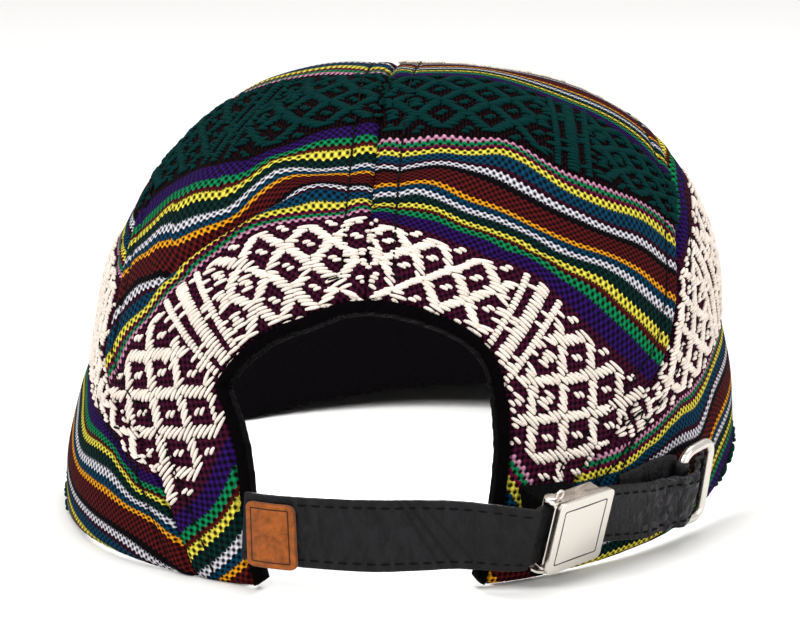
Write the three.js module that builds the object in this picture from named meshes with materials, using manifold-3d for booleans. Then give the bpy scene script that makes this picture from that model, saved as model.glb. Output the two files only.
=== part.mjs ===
// Five-panel cap, seen lying on a table: an open crown of five cloth panels with a rounded opening
// at the back, a flat peak, and a leather strap that closes the opening through a lever clasp.
// Millimetres, +Z up. The back of the cap faces -Y, the peak points to +Y, +X is the wearer's right.
import * as THREE from 'three';
import { mergeVertices } from 'three/addons/utils/BufferGeometryUtils.js';
import Module from 'manifold-3d';

const wasm = await Module();
wasm.setup();

// Where the middle of the rim lies in the part's frame
const crownCentre = { x: -2.5, y: -25.1 };

// The crown as it lies, one row for each direction from the middle of the rim: 0 is the back,
// 90 the right side, 180 the front. reach is the rim's distance, square how boxy the profile is,
// rim the height of the rim over the table, and tuck the depth of the dent over the sweatband.
const crownRows = [
  { turn: 0, reach: 103, square: 1.9, rim: 2, tuck: 0.7 },
  { turn: 20, reach: 95.5, square: 2.05, rim: 0.5, tuck: 0.7 },
  { turn: 45, reach: 90, square: 2.4, rim: 1.5, tuck: 0.9 },
  { turn: 75, reach: 88, square: 2.7, rim: 4.4, tuck: 1.1 },
  { turn: 105, reach: 94, square: 2.8, rim: 13, tuck: 2.6 },
  { turn: 140, reach: 93.5, square: 2.6, rim: 11.5, tuck: 1.4 },
  { turn: 180, reach: 91.5, square: 2.4, rim: 7.5, tuck: 1.1 },
  { turn: 220, reach: 89.5, square: 2.8, rim: 0.8, tuck: 1.4 },
  { turn: 255, reach: 87, square: 2.3, rim: 7.3, tuck: 3.1 },
  { turn: 285, reach: 88, square: 2, rim: 0.6, tuck: 2.6 },
  { turn: 315, reach: 95.5, square: 2, rim: 1.1, tuck: 1.5 },
  { turn: 340, reach: 99, square: 1.95, rim: 0.3, tuck: 0.9 },
];
const apex = { x: 0.8, y: -11, z: 115.6 };
const tuckHeight = 36;
const tuckSpread = 13;

// The seam between a top panel and the side panel below it, from the rim at the back to the corner
// of the front panel. Each side has its turn from the back and its way up, 0 the rim, 1 the apex.
const seamRows = [
  { rightTurn: 29, rightUp: 0, leftTurn: 25, leftUp: 0 },
  { rightTurn: 31.5, rightUp: 0.065, leftTurn: 28.5, leftUp: 0.06 },
  { rightTurn: 35, rightUp: 0.125, leftTurn: 33, leftUp: 0.125 },
  { rightTurn: 42, rightUp: 0.163, leftTurn: 39, leftUp: 0.17 },
  { rightTurn: 51, rightUp: 0.205, leftTurn: 48.5, leftUp: 0.208 },
  { rightTurn: 60, rightUp: 0.245, leftTurn: 56, leftUp: 0.25 },
  { rightTurn: 66, rightUp: 0.3, leftTurn: 58.5, leftUp: 0.312 },
  { rightTurn: 73, rightUp: 0.365, leftTurn: 65, leftUp: 0.368 },
  { rightTurn: 82, rightUp: 0.425, leftTurn: 79, leftUp: 0.425 },
  { rightTurn: 96, rightUp: 0.5, leftTurn: 95, leftUp: 0.475 },
  { rightTurn: 115, rightUp: 0.53, leftTurn: 116, leftUp: 0.51 },
  { rightTurn: 138, rightUp: 0.5, leftTurn: 138, leftUp: 0.5 },
];
const seamKnee = 3;

// The edge of the back opening: how far up, and the turn from the back on each side
const archRows = [
  { up: 0, right: 18, left: 15 },
  { up: 0.06, right: 20.5, left: 16.5 },
  { up: 0.13, right: 22, left: 18 },
  { up: 0.18, right: 23, left: 19.5 },
  { up: 0.22, right: 23.2, left: 21.5 },
  { up: 0.265, right: 23, left: 24.3 },
  { up: 0.3, right: 22.2, left: 22.8 },
  { up: 0.335, right: 20, left: 19.5 },
  { up: 0.362, right: 16.5, left: 15.5 },
  { up: 0.388, right: 11, left: 9 },
  { up: 0.406, right: 5, left: 4.5 },
  { up: 0.412, right: 0, left: 0 },
];

// The front panel's two side seams run from the rim to its corners, and its top seam bows forward
const frontRimTurn = 128;
const frontCornerTurn = 138;
const frontCornerUp = 0.5;
const frontSeamReach = 0.43;

// Cloth and the gaps between sewn pieces. The panels' sizes on the disc are rough ones, which only
// set how much of a panel seamGap takes.
const clothThick = 1.5;
const liningThick = 1.0;
const bandThick = 1.6;
const layerGap = 0.4;
const liningGap = 0.9;
const bandGap = 0.7;
const seamGap = 0.0016;
const topPanelLength = 1.2;
const sidePanelLength = 1.3;
const frontPanelWidth = 0.9;
const frontPanelHeight = 0.55;
const endBowPower = 6;
const bandTop = 33;
const bandFoot = 1.2;
const bandShort = 1.6;
const openingTurn = 20;
const liningFoot = 34;
const liningEdge = 0.022;
const liningCrowding = 14;
const bindingWide = 2.6;
const bindingProud = 0.3;
const bindingInside = 3.6;
const bindingStart = 0.3;

// Peak
const peakHalfWidth = 80;
const peakRootY = 52;
const peakDepth = 103;
const peakSquare = 2.5;
const peakEndTurn = 122;
const peakThick = 2.6;
const peakSlope = 0.17;
const peakGap = 0.45;
const peakRootLift = 0.4;

// Strap, one row for each station: turn from the back, height of its middle, width, how far its
// inner face stands off the crown, and how far its upper edge leans out. It runs flatter than the
// crown across the opening.
const strapThick = 1.8;
const strapLeft = [
  { turn: -16, height: 15.8, width: 16.2, off: 0.9, lean: 0 },
  { turn: -12, height: 15.7, width: 16.6, off: 0.9, lean: 0 },
  { turn: -6, height: 15.6, width: 17, off: -0.9, lean: 0 },
  { turn: 2, height: 15.2, width: 17.4, off: -2.1, lean: 0 },
  { turn: 9, height: 14.8, width: 17.2, off: -1.2, lean: 3 },
  { turn: 14, height: 14.4, width: 16.8, off: 0.8, lean: 6 },
];
const strapInClasp = [
  { along: -14, width: 17, across: -0.6 },
  { along: -10.4, width: 15.8, across: -0.3 },
  { along: 9.6, width: 15.6, across: -0.3 },
  { along: 13.6, width: 15.6, across: -0.8 },
];
const strapRight = [
  { turn: 47, height: 13.5, width: 15.2, off: 3, lean: 14 },
  { turn: 51, height: 13.7, width: 14.6, off: 3.6, lean: 14 },
  { turn: 54.5, height: 14, width: 14.1, off: 5.3, lean: 14 },
  { turn: 57.5, height: 14.3, width: 13.7, off: 5.6, lean: 14 },
  { turn: 62, height: 14.7, width: 13.1, off: 2.1, lean: 13 },
  { turn: 65.5, height: 14.9, width: 12.9, off: 1.4, lean: 9 },
  { turn: 69, height: 15, width: 12.7, off: 1.1, lean: 6 },
];

// Leather tab sewn over the strap's left end
const tabThick = 1.4;
const tabFromTurn = -14.9;
const tabToTurn = -8;
const tabStartHeight = 14.5;
const tabEndHeight = 14.4;
const tabWidth = 15.7;
const tabSlant = 4.6;

// Lever clasp: its place and how it is turned
const claspCentre = { x: 49, y: -86, z: 14.85 };
const claspTurn = 50.6;
const claspLean = 17;
const claspClimb = 2.7;
const plateSide = 19.6;
const plateLeft = -9.1;
const plateThick = 1;
const plateCorner = 1.6;
const skirtThick = 0.6;
const skirtEnd = 0.7;
const skirtNeck = 1.4;
const trayThick = 0.6;
const trayWallTop = 1.3;
const trayHalfLength = 8.6;
const trayCorner = 0.4;
const trayHalfWide = 8.9;
const fitGap = 0.3;
const pinRadius = 0.45;
const pinAlong = -8;
const pinOut = 2.05;
const pinProud = 0.4;
const knuckleRadius = 1.15;
const earRadius = 2.4;
const earDrop = 1.2;
const earFrom = 112;
const anchorHalf = 6.5;
const anchorGap = 0.5;
const anchorReach = 12;

// Keeper ring for the strap's free end, a rounded rectangle of wire, and the leather that holds it
const ringCentreTurn = 60.4;
const ringHeight = 16;
const ringLean = 11;
const ringHalfWide = 5.9;
const ringHalfTall = 10.4;
const ringCorner = 2.6;
const ringWire = 1.05;
const ringLeftOff = 3.3;
const ringRightOff = 4.9;
const keeperThick = 0.8;
const keeperHalfWidth = 6;
const keeperLength = 11;
const keeperOff = 1.6;
const wrapFrom = -90;
const wrapTo = 115;

const radians = THREE.MathUtils.degToRad;
const lerp = THREE.MathUtils.lerp;

// Smooth value of a column of crownRows in any direction
function aroundCrown(column, turn) {
  const count = crownRows.length;
  const t = ((turn % 360) + 360) % 360;
  let k = count - 1;
  while (crownRows[k].turn > t) k -= 1;
  const row = (i) => crownRows[((i % count) + count) % count][column];
  const at = (i) => crownRows[((i % count) + count) % count].turn + 360 * Math.floor(i / count);
  return hermite(t, [k - 1, k, k + 1, k + 2].map(at), [k - 1, k, k + 1, k + 2].map(row));
}

// Cubic through the two middle knots, with slopes from their neighbours
function hermite(t, knots, values) {
  const step = knots[2] - knots[1];
  const u = (t - knots[1]) / step;
  const slopeIn = (values[2] - values[0]) / (knots[2] - knots[0]) * step;
  const slopeOut = (values[3] - values[1]) / (knots[3] - knots[1]) * step;
  return (2 * u ** 3 - 3 * u ** 2 + 1) * values[1] + (u ** 3 - 2 * u ** 2 + u) * slopeIn
    + (3 * u ** 2 - 2 * u ** 3) * values[2] + (u ** 3 - u ** 2) * slopeOut;
}

// Smooth value of a column of a table, where position 0 is the first row and 1 the last
function alongTable(rows, column, position) {
  const last = rows.length - 1;
  const t = Math.min(Math.max(position, 0), 1) * last;
  const k = Math.min(Math.floor(t), last - 1);
  const row = (i) => {
    if (i < 0) return 2 * rows[0][column] - rows[1][column];
    if (i > last) return 2 * rows[last][column] - rows[last - 1][column];
    return rows[i][column];
  };
  return hermite(t, [k - 1, k, k + 1, k + 2], [k - 1, k, k + 1, k + 2].map(row));
}

// A point of the crown's outer face. The disc coordinates u and v put the apex at 0, 0 and the rim
// on the unit circle, with u to the right and v to the front.
function crownAt(u, v) {
  const away = Math.min(Math.hypot(u, v), 1);
  const turn = THREE.MathUtils.radToDeg(Math.atan2(u, -v));
  const power = aroundCrown('square', turn);
  const rim = aroundCrown('rim', turn);
  const across = Math.max(Math.sin(away * Math.PI / 2), 1e-9);
  const climb = Math.max(Math.cos(away * Math.PI / 2), 1e-9);
  const scale = (across ** power + climb ** power) ** (-1 / power);
  const flat = across * scale;
  const rise = climb * scale;
  const z = rim * (1 - rise) + apex.z * rise;
  const dent = Math.exp(-(((z - rim - tuckHeight) / tuckSpread) ** 2)) / Math.max(flat, 0.3);
  const reach = aroundCrown('reach', turn) - aroundCrown('tuck', turn) * dent;
  return new THREE.Vector3(
    crownCentre.x + reach * Math.sin(radians(turn)) * flat + apex.x * (1 - flat),
    crownCentre.y - reach * Math.cos(radians(turn)) * flat + apex.y * (1 - flat),
    z,
  );
}

// The outward direction of the crown at a place on the disc
function crownNormal(u, v) {
  const step = 0.004;
  const away = Math.hypot(u, v);
  const inside = away > 1 - 2 * step ? (1 - 2 * step) / away : 1;
  const [a, b] = [u * inside, v * inside];
  const alongU = crownAt(a + step, b).sub(crownAt(a - step, b));
  const alongV = crownAt(a, b + step).sub(crownAt(a, b - step));
  return alongU.cross(alongV).normalize();
}

// A point at a depth below the crown's outer face
const crownLayer = (disc, depth) => crownAt(disc.x, disc.y)
  .addScaledVector(crownNormal(disc.x, disc.y), -depth);

// Disc coordinates of a turn and a way up
const disc = (turn, up) => new THREE.Vector2(
  (1 - up) * Math.sin(radians(turn)),
  -(1 - up) * Math.cos(radians(turn)),
);

// How far up the crown a height is, in a given direction
function upAtHeight(turn, z) {
  const power = aroundCrown('square', turn);
  const rim = aroundCrown('rim', turn);
  const rise = Math.min(Math.max((z - rim) / (apex.z - rim), 1e-6), 1);
  return Math.atan((rise ** -power - 1) ** (-1 / power)) * 2 / Math.PI;
}

// A closed body between two faces of a grid. place gives a point for a column, a row and a face,
// 0 outside and 1 inside; a round grid joins its last column to its first.
function gridSolid(columns, rows, place, round = false) {
  const faces = [0, 1].map((face) => {
    const grid = [];
    for (let i = 0; i <= columns; i += 1) {
      grid.push([]);
      for (let j = 0; j <= rows; j += 1) {
        const column = round ? (i % columns) : i;
        grid[i].push(place(column / columns, j / rows, face));
      }
    }
    return grid;
  });
  const triangles = [];
  const addQuad = (a, b, c, d) => triangles.push([a, b, c], [a, c, d]);
  const [outer, inner] = faces;
  for (let i = 0; i < columns; i += 1) {
    for (let j = 0; j < rows; j += 1) {
      addQuad(outer[i][j], outer[i + 1][j], outer[i + 1][j + 1], outer[i][j + 1]);
      addQuad(inner[i][j], inner[i][j + 1], inner[i + 1][j + 1], inner[i + 1][j]);
    }
    addQuad(inner[i][0], inner[i + 1][0], outer[i + 1][0], outer[i][0]);
    addQuad(outer[i][rows], outer[i + 1][rows], inner[i + 1][rows], inner[i][rows]);
  }
  for (let j = 0; j < rows && !round; j += 1) {
    addQuad(outer[0][j], outer[0][j + 1], inner[0][j + 1], inner[0][j]);
    addQuad(inner[columns][j], inner[columns][j + 1], outer[columns][j + 1], outer[columns][j]);
  }
  return solidFrom(triangles);
}

// Geometry of a list of triangles, without the ones that have no area, facing outwards
function solidFrom(triangles) {
  const kept = triangles.filter(([a, b, c]) => a.distanceTo(b) > 1e-5
    && b.distanceTo(c) > 1e-5 && c.distanceTo(a) > 1e-5);
  let volume = 0;
  kept.forEach(([a, b, c]) => { volume += a.dot(b.clone().cross(c)); });
  const corners = kept.flatMap(([a, b, c]) => (volume < 0 ? [a, c, b] : [a, b, c]));
  const geometry = new THREE.BufferGeometry();
  const numbers = corners.flatMap((p) => [p.x, p.y, p.z]);
  geometry.setAttribute('position', new THREE.Float32BufferAttribute(numbers, 3));
  return geometry;
}

// A bar through a list of frames, each an origin, a side direction and an outward direction, with
// its half sizes; section gives its outline in units of those half sizes
function sweptSolid(frames, section, closed = false) {
  const ring = (frame) => section.map(([a, b]) => frame.origin.clone()
    .addScaledVector(frame.side, a * frame.half)
    .addScaledVector(frame.out, b * frame.thick / 2));
  const rings = frames.map(ring);
  const triangles = [];
  const count = section.length;
  const steps = closed ? rings.length : rings.length - 1;
  for (let i = 0; i < steps; i += 1) {
    const [from, to] = [rings[i], rings[(i + 1) % rings.length]];
    for (let j = 0; j < count; j += 1) {
      const next = (j + 1) % count;
      triangles.push([from[j], from[next], to[next]], [from[j], to[next], to[j]]);
    }
  }
  for (let j = 1; j < count - 1 && !closed; j += 1) {
    triangles.push([rings[0][0], rings[0][j + 1], rings[0][j]]);
    const end = rings[rings.length - 1];
    triangles.push([end[0], end[j], end[j + 1]]);
  }
  return solidFrom(triangles);
}
const flatSection = [[-1, -1], [1, -1], [1, 1], [-1, 1]];
const roundSection = [...Array(8).keys()].map((k) => [
  Math.cos((k + 0.5) * Math.PI / 4), Math.sin((k + 0.5) * Math.PI / 4)]);

const cap = new THREE.Group();
const finishes = {
  cloth: { color: 0x6b2030, roughness: 0.95, metalness: 0 },
  black_cloth: { color: 0x17161a, roughness: 0.95, metalness: 0 },
  leather: { color: 0x232125, roughness: 0.55, metalness: 0 },
  tan_leather: { color: 0xb0622c, roughness: 0.7, metalness: 0 },
  nickel: { color: 0xd9d4cc, roughness: 0.25, metalness: 1 },
};
function addPiece(name, geometry, finish) {
  const mesh = new THREE.Mesh(geometry, new THREE.MeshStandardMaterial(finishes[finish]));
  mesh.name = name;
  mesh.geometry.computeVertexNormals();
  cap.add(mesh);
}

// Seams and edges on the disc. side is 1 on the right and -1 on the left.
const columnOf = (side, ending) => (side > 0 ? 'right' : 'left') + ending;
const sideSeam = (side, position) => disc(
  side * alongTable(seamRows, columnOf(side, 'Turn'), position),
  alongTable(seamRows, columnOf(side, 'Up'), position),
);
const archEdge = (side, position) => disc(
  side * alongTable(archRows, columnOf(side, ''), position),
  alongTable(archRows, 'up', position),
);
const frontCorner = disc(frontCornerTurn, frontCornerUp);
const frontSeam = (across) => new THREE.Vector2(
  frontCorner.x * across,
  lerp(frontSeamReach, frontCorner.y, across ** 2),
);
const frontSideSeam = (side, up) => disc(
  side * lerp(frontRimTurn, frontCornerTurn, up),
  frontCornerUp * up,
);

// Moves a share so that both ends of a line of this length stay clear of the seams
const clearOf = (share, length) => lerp(seamGap / length, 1 - seamGap / length, share);

// Rows of the seam grid: the steep stretch by the rim, then the stretch up to the front corner
const kneeRows = 8;
const upperRows = 18;
const archGridRows = 14;
const panelRows = kneeRows + upperRows;
const knee = seamKnee / (seamRows.length - 1);
const seamShare = (t) => {
  const row = t * panelRows;
  return row < kneeRows ? knee * row / kneeRows : lerp(knee, 1, (row - kneeRows) / upperRows);
};

// A top panel, between the back opening, the centre seam, the front seam and a side seam
function topPanelDisc(side, across, along) {
  const row = along * panelRows;
  const centre = new THREE.Vector2(0, lerp(
    archEdge(side, 1).y, frontSeamReach, (row - archGridRows) / (panelRows - archGridRows)));
  const inner = row < archGridRows ? archEdge(side, row / archGridRows) : centre;
  const outer = sideSeam(side, seamShare(along));
  const share = clearOf(across, inner.distanceTo(outer));
  const spot = inner.clone().lerp(outer, share);
  const foot = archEdge(side, 0).lerp(sideSeam(side, 0), share);
  const footLift = foot.clone().normalize().sub(foot).multiplyScalar((1 - along) ** endBowPower);
  const chord = new THREE.Vector2(0, frontSeamReach).lerp(sideSeam(side, 1), share);
  const bow = frontSeam(share).multiply(new THREE.Vector2(side, 1)).sub(chord);
  return spot.add(footLift).add(bow.multiplyScalar(along ** endBowPower));
}

// A patch between four edges that meet at its corners
function patchDisc(low, high, start, end, s, t) {
  const spot = low(s).lerp(high(s), t);
  spot.add(start(t).lerp(end(t), s));
  const lowLine = low(0).lerp(low(1), s);
  return spot.sub(lowLine.lerp(high(0).lerp(high(1), s), t));
}

// A side panel, between the rim, a side seam and the front panel
function sidePanelDisc(side, along, up) {
  const seamStart = columnOf(side, 'Turn');
  const rim = (s) => disc(side * lerp(seamRows[0][seamStart], frontRimTurn, s), 0);
  const top = (s) => sideSeam(side, lerp(knee, 1, s));
  const back = (t) => sideSeam(side, knee * t);
  const front = (t) => frontSideSeam(side, t);
  const s = clearOf(along, sidePanelLength);
  const t = up * (1 - seamGap / rim(s).distanceTo(top(s)));
  return patchDisc(rim, top, back, front, s, t);
}

// The front panel, between the rim, its two side seams and the front seam
function frontPanelDisc(along, up) {
  const rim = (s) => disc(lerp(frontRimTurn, 360 - frontRimTurn, s), 0);
  const top = (s) => {
    const across = 1 - 2 * s;
    return frontSeam(Math.abs(across)).multiply(new THREE.Vector2(Math.sign(across), 1));
  };
  const right = (t) => frontSideSeam(1, t);
  const left = (t) => frontSideSeam(-1, t);
  return patchDisc(rim, top, right, left, clearOf(along, frontPanelWidth),
    up * (1 - seamGap / frontPanelHeight));
}

function addPanels() {
  const panel = (place) => (a, b, face) => crownLayer(place(a, b), face * clothThick);
  const bothSides = [['right', 1], ['left', -1]];
  bothSides.forEach(([word, side]) => {
    const along = 1 - seamGap / topPanelLength;
    const top = panel((a, b) => topPanelDisc(side, a, b * along));
    addPiece(`top_panel_${word}`, gridSolid(12, panelRows, top), 'cloth');
    const low = panel((a, b) => sidePanelDisc(side, a, b));
    addPiece(`side_panel_${word}`, gridSolid(upperRows, kneeRows, low), 'cloth');
  });
  addPiece('front_panel', gridSolid(24, kneeRows, panel(frontPanelDisc)), 'cloth');
}

// Turn of the opening's edge from the back at a way up, for pieces that stop at it
function archTurnAt(side, up) {
  const column = columnOf(side, '');
  let k = 0;
  while (k < archRows.length - 2 && archRows[k + 1].up < up) k += 1;
  const share = (up - archRows[k].up) / (archRows[k + 1].up - archRows[k].up);
  return lerp(archRows[k][column], archRows[k + 1][column], Math.min(Math.max(share, 0), 1));
}

// Height of the opening's edge as a way up, in a direction, or 0 beside it
function archUpAt(turn) {
  const column = turn > 0 ? 'right' : 'left';
  const away = Math.abs(turn);
  let k = archRows.length - 1;
  while (k > 0 && archRows[k - 1][column] < away) k -= 1;
  if (k === 0 || archRows[k].up < 0.2) return 0;
  const share = (away - archRows[k][column]) / (archRows[k - 1][column] - archRows[k][column]);
  return lerp(archRows[k].up, archRows[k - 1].up, share);
}

// Lining of the upper crown and the sweatband inside the rim, both just inside the panels
function addInside() {
  const lining = (a, b, face) => {
    const turn = 360 * a - liningCrowding * Math.sin(2 * Math.PI * a);
    const signed = turn > 180 ? turn - 360 : turn;
    const arch = archUpAt(signed);
    const foot = Math.max(upAtHeight(turn, liningFoot), arch > 0 ? arch + liningEdge : 0);
    const depth = clothThick + liningGap + face * liningThick;
    return crownLayer(disc(turn, lerp(foot, 1, b)), depth);
  };
  addPiece('lining', gridSolid(48, 9, lining, true), 'black_cloth');
  const band = (a, b, face) => {
    const foot = aroundCrown('rim', openingTurn) + bandFoot;
    const archUp = upAtHeight(openingTurn, lerp(foot, bandTop, b));
    const from = archTurnAt(1, archUp) + bandShort;
    const to = 360 - archTurnAt(-1, archUp) - bandShort;
    const turn = lerp(from, to, a);
    const z = lerp(aroundCrown('rim', turn) + bandFoot, bandTop, b);
    return crownLayer(disc(turn, upAtHeight(turn, z)), clothThick + bandGap + face * bandThick);
  };
  addPiece('sweatband', gridSolid(44, 3, band), 'black_cloth');
}

// Cloth binding folded over the edge of the back opening
function addBinding() {
  const edge = (t) => (t < 0.5 ? archEdge(1, 2 * t) : archEdge(-1, 2 - 2 * t));
  const step = 0.004;
  const reach = 0.02;
  const binding = (a, b, face) => {
    const spot = edge(a);
    const ahead = edge(Math.min(a + step, 1)).sub(edge(Math.max(a - step, 0))).normalize();
    const inward = new THREE.Vector2(-ahead.y, ahead.x);
    const beyond = spot.clone().addScaledVector(inward, reach);
    const scale = crownAt(...spot).distanceTo(crownAt(...beyond)) / reach;
    const away = (bindingStart + b * bindingWide) / scale;
    const place = spot.clone().addScaledVector(inward, away);
    if (place.length() > 1) place.normalize();
    return crownLayer(place, face ? bindingInside : -bindingProud);
  };
  addPiece('opening_binding', gridSolid(2 * archGridRows, 1, binding), 'black_cloth');
}

function addPeak() {
  const end = peakEndTurn;
  const peak = (a, b, face) => {
    const turn = lerp(end, 360 - end, a);
    const root = crownLayer(disc(turn, 0), -peakGap);
    const angle = a * Math.PI;
    const bow = (value) => Math.sign(value) * Math.abs(value) ** (2 / peakSquare);
    const tip = new THREE.Vector3(
      crownCentre.x + peakHalfWidth * bow(Math.cos(angle)),
      crownCentre.y + peakRootY + peakDepth * bow(Math.sin(angle)),
      0,
    );
    const out = Math.hypot(tip.x - root.x, tip.y - root.y);
    const under = Math.max(root.z + peakRootLift - out * b * peakSlope, 0);
    const spot = new THREE.Vector3(lerp(root.x, tip.x, b), lerp(root.y, tip.y, b), under);
    return spot.setZ(under + (face ? 0 : peakThick));
  };
  addPiece('peak', gridSolid(28, 6, peak), 'black_cloth');
}

// A frame on the crown: its origin stands off the outer face, side points up the crown and out away
function crownFrame(row) {
  const spot = disc(row.turn, upAtHeight(row.turn, row.height));
  const out = crownNormal(spot.x, spot.y);
  const around = new THREE.Vector3(Math.cos(radians(row.turn)), Math.sin(radians(row.turn)), 0);
  out.applyAxisAngle(around, radians(row.lean));
  const side = out.clone().cross(around).normalize();
  const origin = crownAt(spot.x, spot.y).addScaledVector(out, row.off + strapThick / 2);
  return { origin, side, out, half: row.width / 2, thick: strapThick };
}

// The clasp's own directions: along the strap, up across it and out from the crown
function claspFrame() {
  const along = new THREE.Vector3(Math.cos(radians(claspTurn)), Math.sin(radians(claspTurn)), 0);
  const out = new THREE.Vector3(along.y, -along.x, 0);
  const side = new THREE.Vector3(0, 0, 1);
  out.applyAxisAngle(along, radians(claspLean));
  side.applyAxisAngle(along, radians(claspLean));
  along.applyAxisAngle(out, radians(claspClimb));
  side.applyAxisAngle(out, radians(claspClimb));
  const origin = new THREE.Vector3(
    crownCentre.x + claspCentre.x, crownCentre.y + claspCentre.y, claspCentre.z);
  const at = (a, s, o) => origin.clone().addScaledVector(along, a)
    .addScaledVector(side, s).addScaledVector(out, o);
  return { along, side, out, origin, at };
}

// Strap stations, straight where the strap runs through the clasp
function strapFrames() {
  const clasp = claspFrame();
  const inClasp = strapInClasp.map((row) => ({
    origin: clasp.at(row.along, row.across, 0),
    side: clasp.side,
    out: clasp.out,
    half: row.width / 2,
    thick: strapThick,
  }));
  const stations = [...strapLeft.map(crownFrame), ...inClasp, ...strapRight.map(crownFrame)];
  const steps = 3;
  const frames = [];
  const last = stations.length - 1;
  for (let k = 0; k < last; k += 1) {
    const four = [k - 1, k, k + 1, k + 2].map((i) => stations[Math.min(Math.max(i, 0), last)]);
    for (let i = 0; i < steps; i += 1) frames.push(blendFrame(four, i / steps));
  }
  frames.push(stations[last]);
  return frames;
}

// A smooth frame between the middle two of four
function blendFrame(four, t) {
  const blend = (pick) => {
    const value = (i, axis) => pick(four[i])[axis];
    const along = (axis) => hermite(t, [-1, 0, 1, 2], [0, 1, 2, 3].map((i) => value(i, axis)));
    return new THREE.Vector3(along('x'), along('y'), along('z'));
  };
  const number = (pick) => lerp(pick(four[1]), pick(four[2]), t);
  const side = blend((frame) => frame.side).normalize();
  const out = blend((frame) => frame.out);
  out.addScaledVector(side, -out.dot(side)).normalize();
  return {
    origin: blend((frame) => frame.origin),
    side,
    out,
    half: number((frame) => frame.half),
    thick: strapThick,
  };
}

function addStrap() {
  addPiece('strap', sweptSolid(strapFrames(), flatSection), 'leather');
  const tabFrames = [0, 1, 2, 3, 4].map((k) => {
    const turn = lerp(tabFromTurn, tabToTurn, k / 4);
    const column = (name) => {
      const share = Math.max((turn - strapLeft[0].turn) / (strapLeft[2].turn - strapLeft[0].turn), 0);
      return alongTable(strapLeft.slice(0, 3), name, share);
    };
    const off = column('off') + strapThick / 2 + layerGap + tabThick / 2;
    const height = lerp(tabStartHeight, tabEndHeight, k / 4);
    const frame = crownFrame({ turn, height, width: tabWidth, off, lean: 0 });
    frame.side.applyAxisAngle(frame.out, radians(tabSlant));
    return { ...frame, thick: tabThick };
  });
  addPiece('leather_tab', sweptSolid(tabFrames, flatSection), 'tan_leather');
}

// An outline extruded in the clasp's own directions. Its x runs along the strap. Its y runs out from
// the crown for a side wall, which is extruded across the strap, and across the strap for a plate.
function claspExtrusion(shape, from, to, isWall) {
  const geometry = new THREE.ExtrudeGeometry(shape, {
    depth: to - from, bevelEnabled: false, curveSegments: 5 });
  geometry.translate(0, 0, from);
  const upright = new THREE.Matrix4().set(1, 0, 0, 0, 0, 0, -1, 0, 0, 1, 0, 0, 0, 0, 0, 1);
  return isWall ? geometry.applyMatrix4(upright) : geometry;
}

// The turn and move from the clasp's own directions to the part's frame
function claspPlace() {
  const clasp = claspFrame();
  const basis = new THREE.Matrix4().makeBasis(clasp.along, clasp.side, clasp.out);
  return basis.setPosition(clasp.origin);
}

// Two copies of a wall, one at each side of the strap
const wallPair = (shape, near, far) => [
  claspExtrusion(shape, near, far, true), claspExtrusion(shape, -far, -near, true)];

function roundedPlate(left, right, half, corner) {
  const shape = new THREE.Shape();
  shape.absarc(right - corner, half - corner, corner, 0, Math.PI / 2);
  shape.absarc(left + corner, half - corner, corner, Math.PI / 2, Math.PI);
  shape.absarc(left + corner, corner - half, corner, Math.PI, 1.5 * Math.PI);
  shape.absarc(right - corner, corner - half, corner, 1.5 * Math.PI, 2 * Math.PI);
  return shape;
}

function withPinHole(shape) {
  const hole = new THREE.Path();
  hole.absarc(pinAlong, pinOut, pinRadius + fitGap, 0, 2 * Math.PI, true);
  shape.holes.push(hole);
  return shape;
}

// Joins closed geometries into one solid
function joined(geometries) {
  const solids = geometries.map((geometry) => {
    const bare = geometry.clone();
    bare.deleteAttribute('normal');
    bare.deleteAttribute('uv');
    const merged = mergeVertices(bare, 1e-4);
    return new wasm.Manifold(new wasm.Mesh({
      numProp: 3,
      vertProperties: new Float32Array(merged.attributes.position.array),
      triVerts: new Uint32Array(merged.index.array),
    }));
  });
  const mesh = solids.reduce((whole, next) => whole.add(next)).getMesh();
  const geometry = new THREE.BufferGeometry();
  geometry.setAttribute('position', new THREE.BufferAttribute(mesh.vertProperties, 3));
  geometry.setIndex(new THREE.BufferAttribute(mesh.triVerts, 1));
  return geometry;
}

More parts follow.
